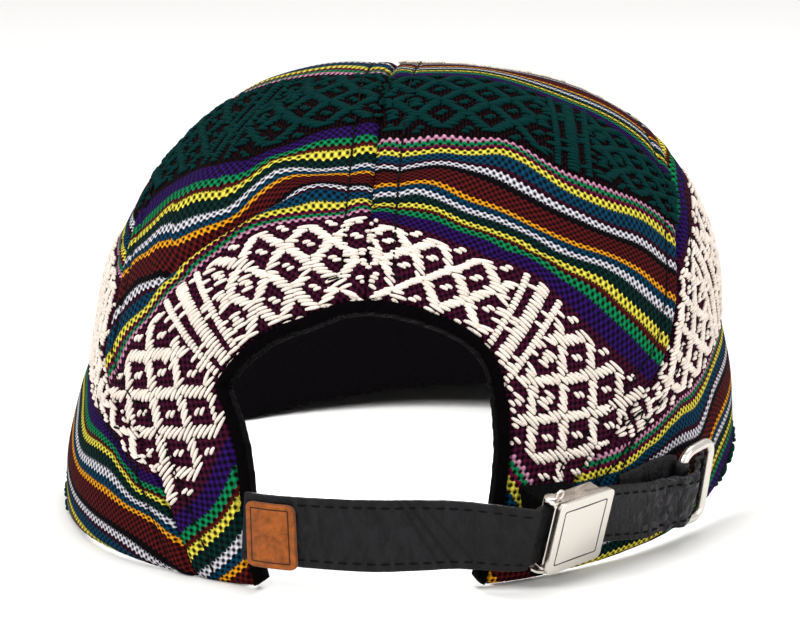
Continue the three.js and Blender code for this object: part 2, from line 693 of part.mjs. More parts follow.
function addClasp() {
  const trayTop = -strapThick / 2 - fitGap;
  const trayFoot = trayTop - trayThick;
  const floor = claspExtrusion(
    roundedPlate(-trayHalfLength, trayHalfLength, trayHalfWide, trayCorner), trayFoot, trayTop, false);
  const wall = new THREE.Shape();
  const knuckleStart = Math.asin((trayWallTop - pinOut) / knuckleRadius);
  wall.moveTo(trayHalfLength - trayCorner, trayFoot);
  wall.lineTo(trayHalfLength - trayCorner, trayWallTop);
  wall.absarc(pinAlong, pinOut, knuckleRadius, knuckleStart, Math.PI);
  wall.lineTo(trayCorner - trayHalfLength, trayFoot);
  const walls = wallPair(withPinHole(wall), trayHalfWide - trayThick, trayHalfWide);
  addPiece('clasp_tray', joined([floor, ...walls]).applyMatrix4(claspPlace()), 'nickel');

  const plateRight = plateLeft + plateSide;
  const plateUnder = pinOut + knuckleRadius + fitGap;
  const plate = claspExtrusion(
    roundedPlate(plateLeft, plateRight, plateSide / 2, plateCorner),
    plateUnder, plateUnder + plateThick, false);
  const skirt = new THREE.Shape();
  const intoPlate = plateUnder + plateThick / 2;
  const neck = Math.asin(-skirtNeck / earRadius);
  const skirtRight = plateRight - plateCorner;
  skirt.moveTo(plateLeft + plateCorner, intoPlate);
  skirt.absarc(pinAlong, pinOut - earDrop, earRadius, radians(earFrom), 2 * Math.PI + neck);
  skirt.lineTo(skirtRight, plateUnder - skirtEnd);
  skirt.lineTo(skirtRight, intoPlate);
  const skirts = wallPair(withPinHole(skirt), plateSide / 2 - skirtThick, plateSide / 2);
  addPiece('clasp_lever', joined([plate, ...skirts]).applyMatrix4(claspPlace()), 'nickel');

  const clasp = claspFrame();
  const pin = new THREE.CylinderGeometry(pinRadius, pinRadius, plateSide + 2 * pinProud, 12);
  pin.translate(pinAlong, 0, pinOut);
  addPiece('clasp_pin', pin.applyMatrix4(claspPlace()), 'nickel');

  const anchor = (a, b, face) => {
    const spot = clasp.at(lerp(-anchorHalf, anchorHalf, a), lerp(-anchorHalf, anchorHalf, b),
      trayFoot - fitGap);
    return face ? dropToCrown(spot, clasp.out) : spot;
  };
  addPiece('clasp_anchor', gridSolid(6, 4, anchor), 'leather');
}

// The place straight behind a point where the crown's outer face comes within a small gap
function dropToCrown(spot, out) {
  const gapAt = (back) => {
    const place = spot.clone().addScaledVector(out, -back);
    const [x, y] = [place.x - crownCentre.x, place.y - crownCentre.y];
    const turn = THREE.MathUtils.radToDeg(Math.atan2(x, -y));
    const rim = aroundCrown('rim', turn);
    const face = crownAt(...disc(turn, upAtHeight(turn, Math.max(place.z, rim))).toArray());
    return Math.hypot(x, y) - Math.hypot(face.x - crownCentre.x, face.y - crownCentre.y);
  };
  let [near, far] = [0, anchorReach];
  for (let i = 0; i < 30; i += 1) {
    const middle = (near + far) / 2;
    if (gapAt(middle) > anchorGap) near = middle;
    else far = middle;
  }
  return spot.clone().addScaledVector(out, -near);
}

// Directions at the keeper ring: round the crown, up it and out from it
function ringFrame() {
  const row = {
    turn: ringCentreTurn,
    height: ringHeight,
    width: 0,
    off: -strapThick / 2,
    lean: ringLean,
  };
  const { origin, side, out } = crownFrame(row);
  const along = side.clone().cross(out).normalize();
  const tilt = (ringRightOff - ringLeftOff) / (2 * ringHalfWide);
  const middle = (ringRightOff + ringLeftOff) / 2;
  const at = (a, s) => origin.clone().addScaledVector(along, a).addScaledVector(side, s)
    .addScaledVector(out, middle + a * tilt);
  return { along, side, out, at };
}

function addKeeper() {
  const frame = ringFrame();
  const outline = roundedPlate(-ringHalfWide, ringHalfWide, ringHalfTall, ringCorner);
  const corners = outline.getPoints(4);
  const points = corners.filter((p, i) => i === 0 || p.distanceTo(corners[i - 1]) > 0.01);
  if (points[0].distanceTo(points[points.length - 1]) < 0.01) points.pop();
  const places = points.map((p) => frame.at(p.x, p.y));
  const count = places.length;
  const face = frame.at(1, 0).sub(frame.at(0, 0)).cross(frame.side).normalize();
  const frames = places.map((origin, i) => {
    const ahead = places[(i + 1) % count].clone().sub(places[(i + count - 1) % count]).normalize();
    return { origin, side: face.clone().cross(ahead), out: face, half: ringWire, thick: 2 * ringWire };
  });
  addPiece('keeper_ring', sweptSolid(frames, roundSection, true), 'nickel');

  const bar = frame.at(-ringHalfWide, 0);
  const bend = ringWire + fitGap + keeperThick / 2;
  const strip = [];
  const flatSteps = 5;
  for (let k = 0; k < flatSteps; k += 1) {
    const back = keeperLength * (1 - k / flatSteps) + ringHalfWide;
    const turn = ringCentreTurn - THREE.MathUtils.radToDeg(back / Math.hypot(
      bar.x - crownCentre.x, bar.y - crownCentre.y));
    const off = keeperOff + keeperThick / 2 - strapThick / 2;
    const place = crownFrame({ turn, height: ringHeight, width: 0, off, lean: ringLean });
    strip.push({ ...place, half: keeperHalfWidth, thick: keeperThick });
  }
  const wrapSteps = 7;
  for (let k = 0; k <= wrapSteps; k += 1) {
    const angle = radians(lerp(wrapFrom, wrapTo, k / wrapSteps));
    const away = frame.along.clone().multiplyScalar(Math.cos(angle))
      .addScaledVector(frame.out, Math.sin(angle));
    strip.push({
      origin: bar.clone().addScaledVector(away, bend),
      side: frame.side,
      out: away.clone().negate(),
      half: keeperHalfWidth,
      thick: keeperThick,
    });
  }
  addPiece('keeper_tab', sweptSolid(strip, flatSection), 'leather');
}

addPanels();
addInside();
addBinding();
addPeak();
addStrap();
addClasp();
addKeeper();

export default cap;
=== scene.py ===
"""Five-panel cap in handwoven striped cotton: cloth, brocade, leather strap and lever clasp."""
import math
from functools import partial

import bmesh
import bpy
import numpy as np
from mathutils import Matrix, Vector


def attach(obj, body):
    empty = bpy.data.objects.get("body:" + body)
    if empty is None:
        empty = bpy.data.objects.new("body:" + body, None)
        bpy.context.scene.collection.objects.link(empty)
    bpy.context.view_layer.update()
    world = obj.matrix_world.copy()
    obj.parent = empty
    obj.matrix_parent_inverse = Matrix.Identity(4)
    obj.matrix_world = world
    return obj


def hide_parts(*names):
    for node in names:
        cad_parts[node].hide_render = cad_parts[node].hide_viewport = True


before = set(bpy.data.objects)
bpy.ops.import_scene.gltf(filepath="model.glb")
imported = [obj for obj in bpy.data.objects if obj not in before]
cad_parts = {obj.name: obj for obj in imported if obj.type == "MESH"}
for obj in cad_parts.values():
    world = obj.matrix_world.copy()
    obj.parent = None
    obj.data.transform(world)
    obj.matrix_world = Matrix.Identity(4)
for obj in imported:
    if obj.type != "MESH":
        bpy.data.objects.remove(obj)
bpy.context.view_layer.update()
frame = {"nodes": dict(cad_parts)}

bl_info = {
    "name": "Five-panel cap",
    "version": (1, 0, 0),
    "blender": (4, 5, 0),
    "location": "View3D > Sidebar > Cap",
    "description": "Dresses a five-panel cap in woven cotton, leather and nickel",
    "category": "Object",
}

# Sizes below are in millimetres, and a mesh is turned to metres when it is made.
MM = 0.001

# The crown as it lies: turn from the back, reach of the rim, squareness of the profile, height of
# the rim and depth of the dent over the sweatband, the same rows as the solids have
CROWN_ROWS = np.array([
    (0, 103, 1.9, 2, 0.7),
    (20, 95.5, 2.05, 0.5, 0.7),
    (45, 90, 2.4, 1.5, 0.9),
    (75, 88, 2.7, 4.4, 1.1),
    (105, 94, 2.8, 13, 2.6),
    (140, 93.5, 2.6, 11.5, 1.4),
    (180, 91.5, 2.4, 7.5, 1.1),
    (220, 89.5, 2.8, 0.8, 1.4),
    (255, 87, 2.3, 7.3, 3.1),
    (285, 88, 2, 0.6, 2.6),
    (315, 95.5, 2, 1.1, 1.5),
    (340, 99, 1.95, 0.3, 0.9),
], float)
REACH, SQUARE, RIM, TUCK = 1, 2, 3, 4
CROWN_CENTRE = np.array([-2.5, -25.1, 0.0])
APEX = np.array([0.8, -11, 115.6])
TUCK_HEIGHT = 36
TUCK_SPREAD = 13

# Side seams: right turn, right way up, left turn, left way up
SEAM_ROWS = np.array([
    (29, 0, 25, 0),
    (31.5, 0.065, 28.5, 0.06),
    (35, 0.125, 33, 0.125),
    (42, 0.163, 39, 0.17),
    (51, 0.205, 48.5, 0.208),
    (60, 0.245, 56, 0.25),
    (66, 0.3, 58.5, 0.312),
    (73, 0.365, 65, 0.368),
    (82, 0.425, 79, 0.425),
    (96, 0.5, 95, 0.475),
    (115, 0.53, 116, 0.51),
    (138, 0.5, 138, 0.5),
], float)

# Edge of the back opening: way up, right turn, left turn
ARCH_ROWS = np.array([
    (0, 18, 15),
    (0.06, 20.5, 16.5),
    (0.13, 22, 18),
    (0.18, 23, 19.5),
    (0.22, 23.2, 21.5),
    (0.265, 23, 24.3),
    (0.3, 22.2, 22.8),
    (0.335, 20, 19.5),
    (0.362, 16.5, 15.5),
    (0.388, 11, 9),
    (0.406, 5, 4.5),
    (0.412, 0, 0),
], float)
FRONT_RIM_TURN = 128
FRONT_CORNER_TURN = 138
FRONT_CORNER_UP = 0.5
FRONT_SEAM_REACH = 0.43
KNEE_ROWS = 8
UPPER_ROWS = 18
ARCH_GRID_ROWS = 14
PANEL_ROWS = KNEE_ROWS + UPPER_ROWS
KNEE = 3 / (len(SEAM_ROWS) - 1)

# Where the photograph was taken from: a long lens behind the cap and a little above it
CAMERA_TURN = 4.34
CAMERA_CLIMB = 11.81
CAMERA_DISTANCE = 850
CAMERA_LENS = 142.69
CAMERA_TARGET = np.array([-0.28, -25.1, 48.19])
IMAGE_SIZE = (800, 629)
SENSOR = 36


def linear(code):
    """Linear colour of an sRGB hex value."""
    parts = [int(code[i:i + 2], 16) / 255 for i in (1, 3, 5)]
    return [c / 12.92 if c <= 0.04045 else ((c + 0.055) / 1.055) ** 2.4 for c in parts]


def colour(name, words, code):
    """A colour setting."""
    return bpy.props.FloatVectorProperty(
        name=name, description=words, default=linear(code), subtype="COLOR", size=3, min=0, max=1)


def length(name, words, millimetres):
    """A length setting."""
    return bpy.props.FloatProperty(
        name=name, description=words, default=millimetres * MM, unit="LENGTH", subtype="DISTANCE",
        precision=5)


class ClothSettings(bpy.types.PropertyGroup):
    """Sizes and colours of the woven cloth"""

    thickness: length("Cloth thickness", "Thickness of a panel with its seam allowance", 1.5)
    pick: length("Pick pitch", "Length of one repeat of the weave along the stripes", 1.9)
    seam_dip: length("Seam depth", "How deep the cloth rolls into a seam", 1.2)
    stitch_line: length("Topstitch distance", "Distance of the topstitching from a seam", 6.2)
    stitch: length("Stitch pitch", "Length of one topstitch with its gap", 3.1)
    float_width: length("Float width", "Width of a brocade yarn", 1.03)
    float_height: length("Float height", "How far a brocade yarn stands proud", 0.5)
    maroon: colour("Maroon ground", "Ground under the cream brocade", "#3a0f24")
    black: colour("Black ground", "Ground under the green brocade", "#050305")
    rib: colour("Dark red rib", "Ribs of the black ground", "#260a0c")
    cream: colour("Cream yarn", "Brocade yarn on the maroon ground", "#e6dacf")
    green: colour("Green yarn", "Brocade yarn on the black ground", "#032b2a")
    peak: colour("Peak twill", "Cloth of the peak", "#141316")
    twill: colour("Black twill", "Lining, sweatband and binding", "#040304")


class LeatherSettings(bpy.types.PropertyGroup):
    """Sizes and colours of the leather"""

    strap: colour("Strap", "Black strap leather", "#0e0d0f")
    tab: colour("Tab", "Tan tab leather", "#844412")
    thread: colour("Thread", "Black sewing thread", "#0a0a0b")
    stitch_inset: length("Stitch inset", "Distance of the stitching from the strap's edge", 1.9)
    stitch: length("Stitch pitch", "Length of one stitch with its gap", 3.3)
    edge: length("Edge rounding", "Rounding of a cut leather edge", 0.45)


class MetalSettings(bpy.types.PropertyGroup):
    """Sizes and colours of the clasp and the keeper ring"""

    nickel: colour("Nickel", "Plated clasp and ring", "#d6d0c8")
    engraving: colour("Engraving", "Blackened line engraved in the plate", "#2a2422")
    edge: length("Edge rounding", "Rounding of the pressed edges", 0.22)


class StageSettings(bpy.types.PropertyGroup):
    """The floor and the light"""

    floor: colour("Floor", "Pale floor", "#f4f3f1")
    key: bpy.props.FloatProperty(
        name="Key light", description="Power of the main soft light", default=9.0, min=0,
        unit="POWER")
    opening: bpy.props.FloatProperty(
        name="Opening light", description="Power of the light that whitens the floor seen through "
        "the opening", default=0.3, min=0, unit="POWER")
    sky: bpy.props.FloatProperty(
        name="Surround", description="Brightness of the even light all round", default=0.85, min=0)


def unit(vectors):
    """Directions, each one long."""
    return vectors / np.linalg.norm(vectors, axis=-1, keepdims=True)


def in_surface(directions, out):
    """The part of directions that lies in a surface facing out."""
    return directions - out * (directions * out).sum(-1, keepdims=True)


def swell(distance, place, width):
    """A smooth rise, 1 high, round a place."""
    return np.exp(-(((distance - place) / width) ** 2))


def travel(line):
    """How far along a line each of its points lies."""
    return np.r_[0, np.cumsum(np.linalg.norm(np.diff(line, axis=0), axis=1))]


def share_grid(columns, rows):
    """Shares a and b at the points of a grid with so many faces each way."""
    return np.meshgrid(np.linspace(0, 1, columns + 1), np.linspace(0, 1, rows + 1), indexing="ij")


def hermite(t, knots, values):
    """Cubic through the two middle knots, with slopes from their neighbours."""
    step = knots[2] - knots[1]
    u = (t - knots[1]) / step
    slope_in = (values[2] - values[0]) / (knots[2] - knots[0]) * step
    slope_out = (values[3] - values[1]) / (knots[3] - knots[1]) * step
    return ((2 * u**3 - 3 * u**2 + 1) * values[1] + (u**3 - 2 * u**2 + u) * slope_in
            + (3 * u**2 - 2 * u**3) * values[2] + (u**3 - u**2) * slope_out)


def around_crown(column, turn):
    """Value of a crown column in any direction."""
    t = np.mod(turn, 360.0)
    count = len(CROWN_ROWS)
    turns = CROWN_ROWS[:, 0]
    k = np.searchsorted(turns, t, side="right") - 1
    near = [k + d for d in (-1, 0, 1, 2)]
    knots = [turns[i % count] + 360 * np.floor_divide(i, count) for i in near]
    return hermite(t, knots, [CROWN_ROWS[i % count, column] for i in near])


def along_rows(rows, column, position):
    """Value of a table's column, where position 0 is the first row and 1 the last."""
    last = len(rows) - 1
    t = np.clip(position, 0, 1) * last
    k = np.minimum(np.floor(t).astype(int), last - 1)
    v = rows[:, column]
    padded = np.r_[2 * v[0] - v[1], v, 2 * v[-1] - v[-2]]
    return hermite(t, [k + d for d in (-1, 0, 1, 2)], [padded[k + d] for d in (0, 1, 2, 3)])


def crown_at(disc):
    """Points of the crown's outer face at places on the disc, apex 0, 0 and rim the unit circle."""
    away = np.minimum(np.hypot(disc[..., 0], disc[..., 1]), 1)
    turn = np.degrees(np.arctan2(disc[..., 0], -disc[..., 1]))
    power = around_crown(SQUARE, turn)
    rim = around_crown(RIM, turn)
    across = np.maximum(np.sin(away * np.pi / 2), 1e-9)
    climb = np.maximum(np.cos(away * np.pi / 2), 1e-9)
    scale = (across**power + climb**power) ** (-1 / power)
    flat = across * scale
    rise = climb * scale
    z = rim * (1 - rise) + APEX[2] * rise
    dent = swell(z - rim, TUCK_HEIGHT, TUCK_SPREAD) / np.maximum(flat, 0.3)
    reach = around_crown(REACH, turn) - around_crown(TUCK, turn) * dent
    angle = np.radians(turn)
    return np.stack([
        CROWN_CENTRE[0] + reach * np.sin(angle) * flat + APEX[0] * (1 - flat),
        CROWN_CENTRE[1] - reach * np.cos(angle) * flat + APEX[1] * (1 - flat),
        z,
    ], -1)


def crown_normal(disc):
    """Outward directions of the crown at places on the disc."""
    step = 0.004
    away = np.hypot(disc[..., 0], disc[..., 1])
    inside = np.where(away > 1 - 2 * step, (1 - 2 * step) / np.maximum(away, 1e-9), 1)
    q = disc * inside[..., None]
    e, f = np.array([step, 0.0]), np.array([0.0, step])
    return unit(np.cross(crown_at(q + e) - crown_at(q - e), crown_at(q + f) - crown_at(q - f)))


def on_crown(disc):
    """Points of the crown's outer face and its outward directions there."""
    return crown_at(disc), crown_normal(disc)


def level_right(turn):
    """Level direction to the right where one looks at a turn of the crown."""
    angle = math.radians(turn)
    return np.array([math.cos(angle), math.sin(angle), 0])


def disc_at(turn, up):
    """Disc coordinates of a turn from the back and a way up."""
    angle = np.radians(turn)
    return np.stack([(1 - up) * np.sin(angle), -(1 - up) * np.cos(angle)], -1)


def up_at_height(turn, z):
    """How far up the crown a height is, in a given direction."""
    power = around_crown(SQUARE, turn)
    rim = around_crown(RIM, turn)
    rise = np.clip((z - rim) / (APEX[2] - rim), 1e-6, 1)
    return np.arctan((rise**-power - 1) ** (-1 / power)) * 2 / np.pi


def mix(a, b, share):
    """Between two lists of points."""
    share = np.asarray(share)[..., None]
    return a * (1 - share) + b * share


def side_seam(side, position):
    """Disc coordinates along a side seam."""
    first = 0 if side > 0 else 2
    return disc_at(side * along_rows(SEAM_ROWS, first, position),
                   along_rows(SEAM_ROWS, first + 1, position))


def arch_edge(side, position):
    """Disc coordinates along one half of the back opening's edge."""
    column = 1 if side > 0 else 2
    return disc_at(side * along_rows(ARCH_ROWS, column, position),
                   along_rows(ARCH_ROWS, 0, position))


FRONT_CORNER = disc_at(np.float64(FRONT_CORNER_TURN), np.float64(FRONT_CORNER_UP))


def front_seam(across):
    """Disc coordinates along the front panel's top seam."""
    return np.stack([
        FRONT_CORNER[0] * across,
        FRONT_SEAM_REACH + (FRONT_CORNER[1] - FRONT_SEAM_REACH) * across**2,
    ], -1)


def front_side_seam(side, up):
    """Disc coordinates along a side seam of the front panel."""
    turn = FRONT_RIM_TURN + (FRONT_CORNER_TURN - FRONT_RIM_TURN) * up
    return disc_at(side * turn, FRONT_CORNER_UP * up)


def top_panel_disc(side, across, along):
    """Disc coordinates of a top panel."""
    across, along = np.broadcast_arrays(across, along)
    row = along * PANEL_ROWS
    start = arch_edge(side, np.float64(1))[1]
    past = (FRONT_SEAM_REACH - start) * (row - ARCH_GRID_ROWS) / (PANEL_ROWS - ARCH_GRID_ROWS)
    centre = np.stack([np.zeros_like(row), start + past], -1)
    arch = arch_edge(side, row / ARCH_GRID_ROWS)
    inner = np.where((row < ARCH_GRID_ROWS)[..., None], arch, centre)
    share = np.where(row < KNEE_ROWS, KNEE * row / KNEE_ROWS,
                     KNEE + (1 - KNEE) * (row - KNEE_ROWS) / UPPER_ROWS)
    spot = mix(inner, side_seam(side, share), across)
    zero, one = np.zeros_like(row), np.ones_like(row)
    foot = mix(arch_edge(side, zero), side_seam(side, zero), across)
    lift = unit(foot) - foot
    top = np.broadcast_to(np.array([0, FRONT_SEAM_REACH]), spot.shape)
    chord = mix(top, side_seam(side, one), across)
    bow = front_seam(across) * np.array([side, 1]) - chord
    return spot + lift * ((1 - along) ** 6)[..., None] + bow * (along**6)[..., None]


def patch_disc(low, high, start, end, s, t):
    """A patch between four edges that meet at its corners."""
    zero, one = np.zeros_like(s), np.ones_like(s)
    spot = mix(low(s), high(s), t) + mix(start(t), end(t), s)
    return spot - mix(mix(low(zero), low(one), s), mix(high(zero), high(one), s), t)


def side_panel_disc(side, along, up):
    """Disc coordinates of a side panel."""
    along, up = np.broadcast_arrays(along, up)
    first = SEAM_ROWS[0, 0 if side > 0 else 2]
    zero = np.zeros_like(along)
    return patch_disc(
        lambda s: disc_at(side * (first + (FRONT_RIM_TURN - first) * s), zero),
        lambda s: side_seam(side, KNEE + (1 - KNEE) * s),
        lambda t: side_seam(side, KNEE * t),
        lambda t: front_side_seam(side, t), along, up)


def front_panel_disc(along, up):
    """Disc coordinates of the front panel."""
    along, up = np.broadcast_arrays(along, up)
    zero = np.zeros_like(along)

    def top(s):
        flip = np.stack([np.where(s > 0.5, -1.0, 1.0), np.ones_like(s)], -1)
        return front_seam(np.abs(1 - 2 * s)) * flip

    return patch_disc(
        lambda s: disc_at(FRONT_RIM_TURN + (360 - 2 * FRONT_RIM_TURN) * s, zero), top,
        lambda t: front_side_seam(1, t), lambda t: front_side_seam(-1, t), along, up)


def camera_axes():
    """The camera's place and its right, up and back directions."""
    turn, climb = math.radians(CAMERA_TURN), math.radians(CAMERA_CLIMB)
    back = np.array([
        math.sin(turn) * math.cos(climb), -math.cos(turn) * math.cos(climb), math.sin(climb)])
    right = level_right(CAMERA_TURN)
    return CAMERA_TARGET + back * CAMERA_DISTANCE, right, np.cross(back, right), back


def to_image(points):
    """Where points are seen in the photograph's frame."""
    place, right, up, back = camera_axes()
    away = points - place
    depth = -(away @ back)
    focal = CAMERA_LENS / SENSOR * IMAGE_SIZE[0]
    return np.stack([IMAGE_SIZE[0] / 2 + focal * (away @ right) / depth,
                     IMAGE_SIZE[1] / 2 - focal * (away @ up) / depth], -1)


def grid_quads(columns, rows, closed=False):
    """Faces of a grid of points, whose last column may join the first."""
    i, j = np.meshgrid(np.arange(columns), np.arange(rows), indexing="ij")
    count = columns if closed else columns + 1
    height = rows + 1

    def index(a, b):
        return ((a % count) * height + b).ravel()

    return np.stack([index(i, j), index(i + 1, j), index(i + 1, j + 1), index(i, j + 1)], 1)


def add_coordinates(mesh, name, coordinates):
    """Gives a mesh a map of two coordinates for each of its points."""
    layer = mesh.uv_layers.new(name=name)
    corners = np.empty(len(mesh.loops), int)
    mesh.loops.foreach_get("vertex_index", corners)
    layer.data.foreach_set("uv", np.asarray(coordinates, np.float32)[corners].ravel())


def add_values(mesh, name, values):
    """Gives a mesh a number for each of its points."""
    layer = mesh.attributes.new(name, "FLOAT", "POINT")
    layer.data.foreach_set("value", np.asarray(values, np.float32))


def add_object(name, data):
    """An object at the origin, in the scene."""
    item = bpy.data.objects.new(name, data)
    bpy.context.scene.collection.objects.link(item)
    return item


def new_piece(name, points, faces, coordinates=None, smooth=True):
    """An object at the origin, with its points in millimetres and its cloth coordinates."""
    mesh = bpy.data.meshes.new(name)
    faces = faces if isinstance(faces, list) else faces.tolist()
    mesh.from_pydata((np.asarray(points) * MM).tolist(), [], faces)
    mesh.validate()
    if coordinates is not None:
        add_coordinates(mesh, "cloth", coordinates)
    mesh.shade_smooth() if smooth else mesh.shade_flat()
    mesh.update()
    return add_object(name, mesh)


def closed_sheet(name, outer, inner, coordinates, closed=False):
    """A sheet with two faces, closed along its edges, from two grids of points."""
    columns, rows = outer.shape[0] - 1, outer.shape[1] - 1
    if closed:
        outer, inner, coordinates = outer[:-1], inner[:-1], coordinates[:-1]
    quads = grid_quads(columns, rows, closed)
    count = outer.shape[0] * outer.shape[1]
    height = rows + 1
    faces = [quads, quads[:, ::-1] + count]
    i = np.arange(columns) * height
    k = (i + height) % count
    faces.append(np.stack([i + count, k + count, k, i], 1))
    faces.append(np.stack([i, k, k + count, i + count], 1) + rows)
    if not closed:
        j = np.arange(rows)
        faces.append(np.stack([j, j + 1, j + 1 + count, j + count], 1))
        j = j + columns * height
        faces.append(np.stack([j + count, j + 1 + count, j + 1, j], 1))
    points = np.vstack([outer.reshape(-1, 3), inner.reshape(-1, 3)])
    flat = coordinates.reshape(-1, 2)
    return new_piece(name, points, np.vstack(faces), np.vstack([flat, flat]))


def outwards(piece):
    """Turns all faces of a closed mesh outwards."""
    shape = bmesh.new()
    shape.from_mesh(piece.data)
    bmesh.ops.recalc_face_normals(shape, faces=shape.faces)
    shape.to_mesh(piece.data)
    shape.free()


def swept(name, rings, coordinates=None, closed=False, smooth=True):
    """A solid through a row of closed outlines, with flat ends or joined end to end."""
    grid = np.asarray(rings)
    steps, count = grid.shape[:2]
    k, i = np.meshgrid(np.arange(steps if closed else steps - 1), np.arange(count), indexing="ij")
    j, n = (i + 1) % count, (k + 1) % steps
    quads = np.stack([k * count + i, k * count + j, n * count + j, n * count + i], -1)
    faces = quads.reshape(-1, 4).tolist()
    if not closed:
        faces.append(list(range(count)))
        faces.append([(steps - 1) * count + i for i in reversed(range(count))])
    piece = new_piece(name, grid.reshape(-1, 3), faces, coordinates, smooth)
    outwards(piece)
    return piece


def rounded_outline(half_x, half_y, corner, turns=8, flats=10):
    """Points of a rectangle with rounded corners, in order."""
    corner = max(min(corner, half_x - 0.02, half_y - 0.02), 0.02)
    outline = []
    for x, y, start, way in ((1, 1, 0, (-1, 0)), (-1, 1, 90, (0, -1)), (-1, -1, 180, (1, 0)),
                             (1, -1, 270, (0, 1))):
        for k in range(turns):
            angle = math.radians(start + 90 * k / (turns - 1))
            outline.append((x * (half_x - corner) + corner * math.cos(angle),
                            y * (half_y - corner) + corner * math.sin(angle)))
        last = outline[-1]
        reach = 2 * (half_x - corner) if x == y else 2 * (half_y - corner)
        for k in range(1, flats):
            outline.append(tuple(last[n] + way[n] * reach * k / flats for n in (0, 1)))
    return outline


def wire_loop(name, places, face, radius, sides):
    """A closed loop of round wire through some places."""
    side = np.cross(face, unit(np.roll(places, -1, 0) - np.roll(places, 1, 0)))
    angles = 2 * np.pi * np.arange(sides) / sides
    rings = (places[:, None] + radius * (side[:, None] * np.cos(angles)[None, :, None]
                                         + face * np.sin(angles)[None, :, None]))
    return swept(name, rings, closed=True)


def set_finish(piece, material, body="cap", replaced=()):
    """Gives a piece its material and says what it rides on and what it stands for."""
    piece.data.materials.clear()
    piece.data.materials.append(material)
    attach(piece, body)
    if replaced:
        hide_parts(*replaced)
    return piece


# Rounds of turning and pulling that lay a panel flat
FLATTEN_ROUNDS = 30


def flatten(points, faces):
    """Lays a curved panel flat with as little stretch as it allows, as a cutter's pattern."""
    centre = points.mean(0)
    axes = np.linalg.svd(points - centre, full_matrices=False)[2]
    flat = (points - centre) @ axes[:2].T
    a, b, c = (points[faces[:, k]] for k in range(3))
    side = np.linalg.norm(b - a, axis=1)
    x_axis = (b - a) / side[:, None]
    y_axis = np.cross(unit(np.cross(b - a, c - a)), x_axis)
    local = np.zeros((len(faces), 3, 2))
    local[:, 1, 0] = side
    local[:, 2, 0] = ((c - a) * x_axis).sum(1)
    local[:, 2, 1] = ((c - a) * y_axis).sum(1)
    placed = flat[faces]
    first, second = placed[:, 1] - placed[:, 0], placed[:, 2] - placed[:, 0]
    if (first[:, 0] * second[:, 1] - first[:, 1] * second[:, 0]).sum() < 0:
        flat[:, 1] *= -1
    weights = cotangents(local)
    inverse = np.linalg.inv(stiffness(len(points), faces, weights))
    for _ in range(FLATTEN_ROUNDS):
        placed = flat[faces]
        spin = np.zeros((len(faces), 2, 2))
        for k, weight in enumerate(weights):
            i, j = k, (k + 1) % 3
            spin += weight[:, None, None] * np.einsum(
                "ni,nj->nij", placed[:, i] - placed[:, j], local[:, i] - local[:, j])
        angle = np.arctan2(spin[:, 1, 0] - spin[:, 0, 1], spin[:, 0, 0] + spin[:, 1, 1])
        cos, sin = np.cos(angle), np.sin(angle)
        turned = np.stack([np.stack([cos, -sin], -1), np.stack([sin, cos], -1)], -2)
        pull = np.zeros_like(flat)
        for k, weight in enumerate(weights):
            i, j = k, (k + 1) % 3
            edge = np.einsum("nij,nj->ni", turned, local[:, i] - local[:, j])
            np.add.at(pull, faces[:, i], weight[:, None] * edge)
            np.add.at(pull, faces[:, j], -weight[:, None] * edge)
        pull[0] = 0
        flat = inverse @ pull
    return flat


def cotangents(local):
    """Half cotangents of the corners facing each side of flat triangles."""
    weights = []
    for k in range(3):
        i, j, o = k, (k + 1) % 3, (k + 2) % 3
        p, q = local[:, i] - local[:, o], local[:, j] - local[:, o]
        area = np.maximum(np.abs(p[:, 0] * q[:, 1] - p[:, 1] * q[:, 0]), 1e-9)
        weights.append((p * q).sum(1) / area * 0.5)
    return weights


def stiffness(count, faces, weights):
    """Matrix that ties each point to its neighbours, with the first point held."""
    ties = np.zeros((count, count))
    for k, weight in enumerate(weights):
        i, j = faces[:, k], faces[:, (k + 1) % 3]
        np.add.at(ties, (i, j), weight)
        np.add.at(ties, (j, i), weight)
    matrix = np.diag(ties.sum(1)) - ties
    matrix[0] = 0
    matrix[0, 0] = 1
    return matrix


def thin_plate(places, values, softness):
    """Smooth field over the flat panel through the values read at some places."""
    scale = 100.0
    p = places / scale

    def kernel(distance):
        return np.where(distance > 0, distance**2 * np.log(np.maximum(distance, 1e-12)), 0)

    count = len(p)
    matrix = np.zeros((count + 3, count + 3))
    matrix[:count, :count] = kernel(np.linalg.norm(p[:, None] - p[None], axis=-1))
    matrix[:count, :count] += np.diag(softness)
    matrix[:count, count:] = np.c_[np.ones(count), p]
    matrix[count:, :count] = matrix[:count, count:].T
    solved = np.linalg.solve(matrix, np.r_[values, 0, 0, 0])

    def field(spots):
        q = spots.reshape(-1, 2) / scale
        near = kernel(np.linalg.norm(q[:, None] - p[None], axis=-1))
        found = near @ solved[:count] + np.c_[np.ones(len(q)), q] @ solved[count:]
        return found.reshape(spots.shape[:-1])

    return field


# Millimetres beside a crease over which a fold keeps its depth, and over which it then fades out
FOLD_KEEPS = 8
FOLD_FADES = 30


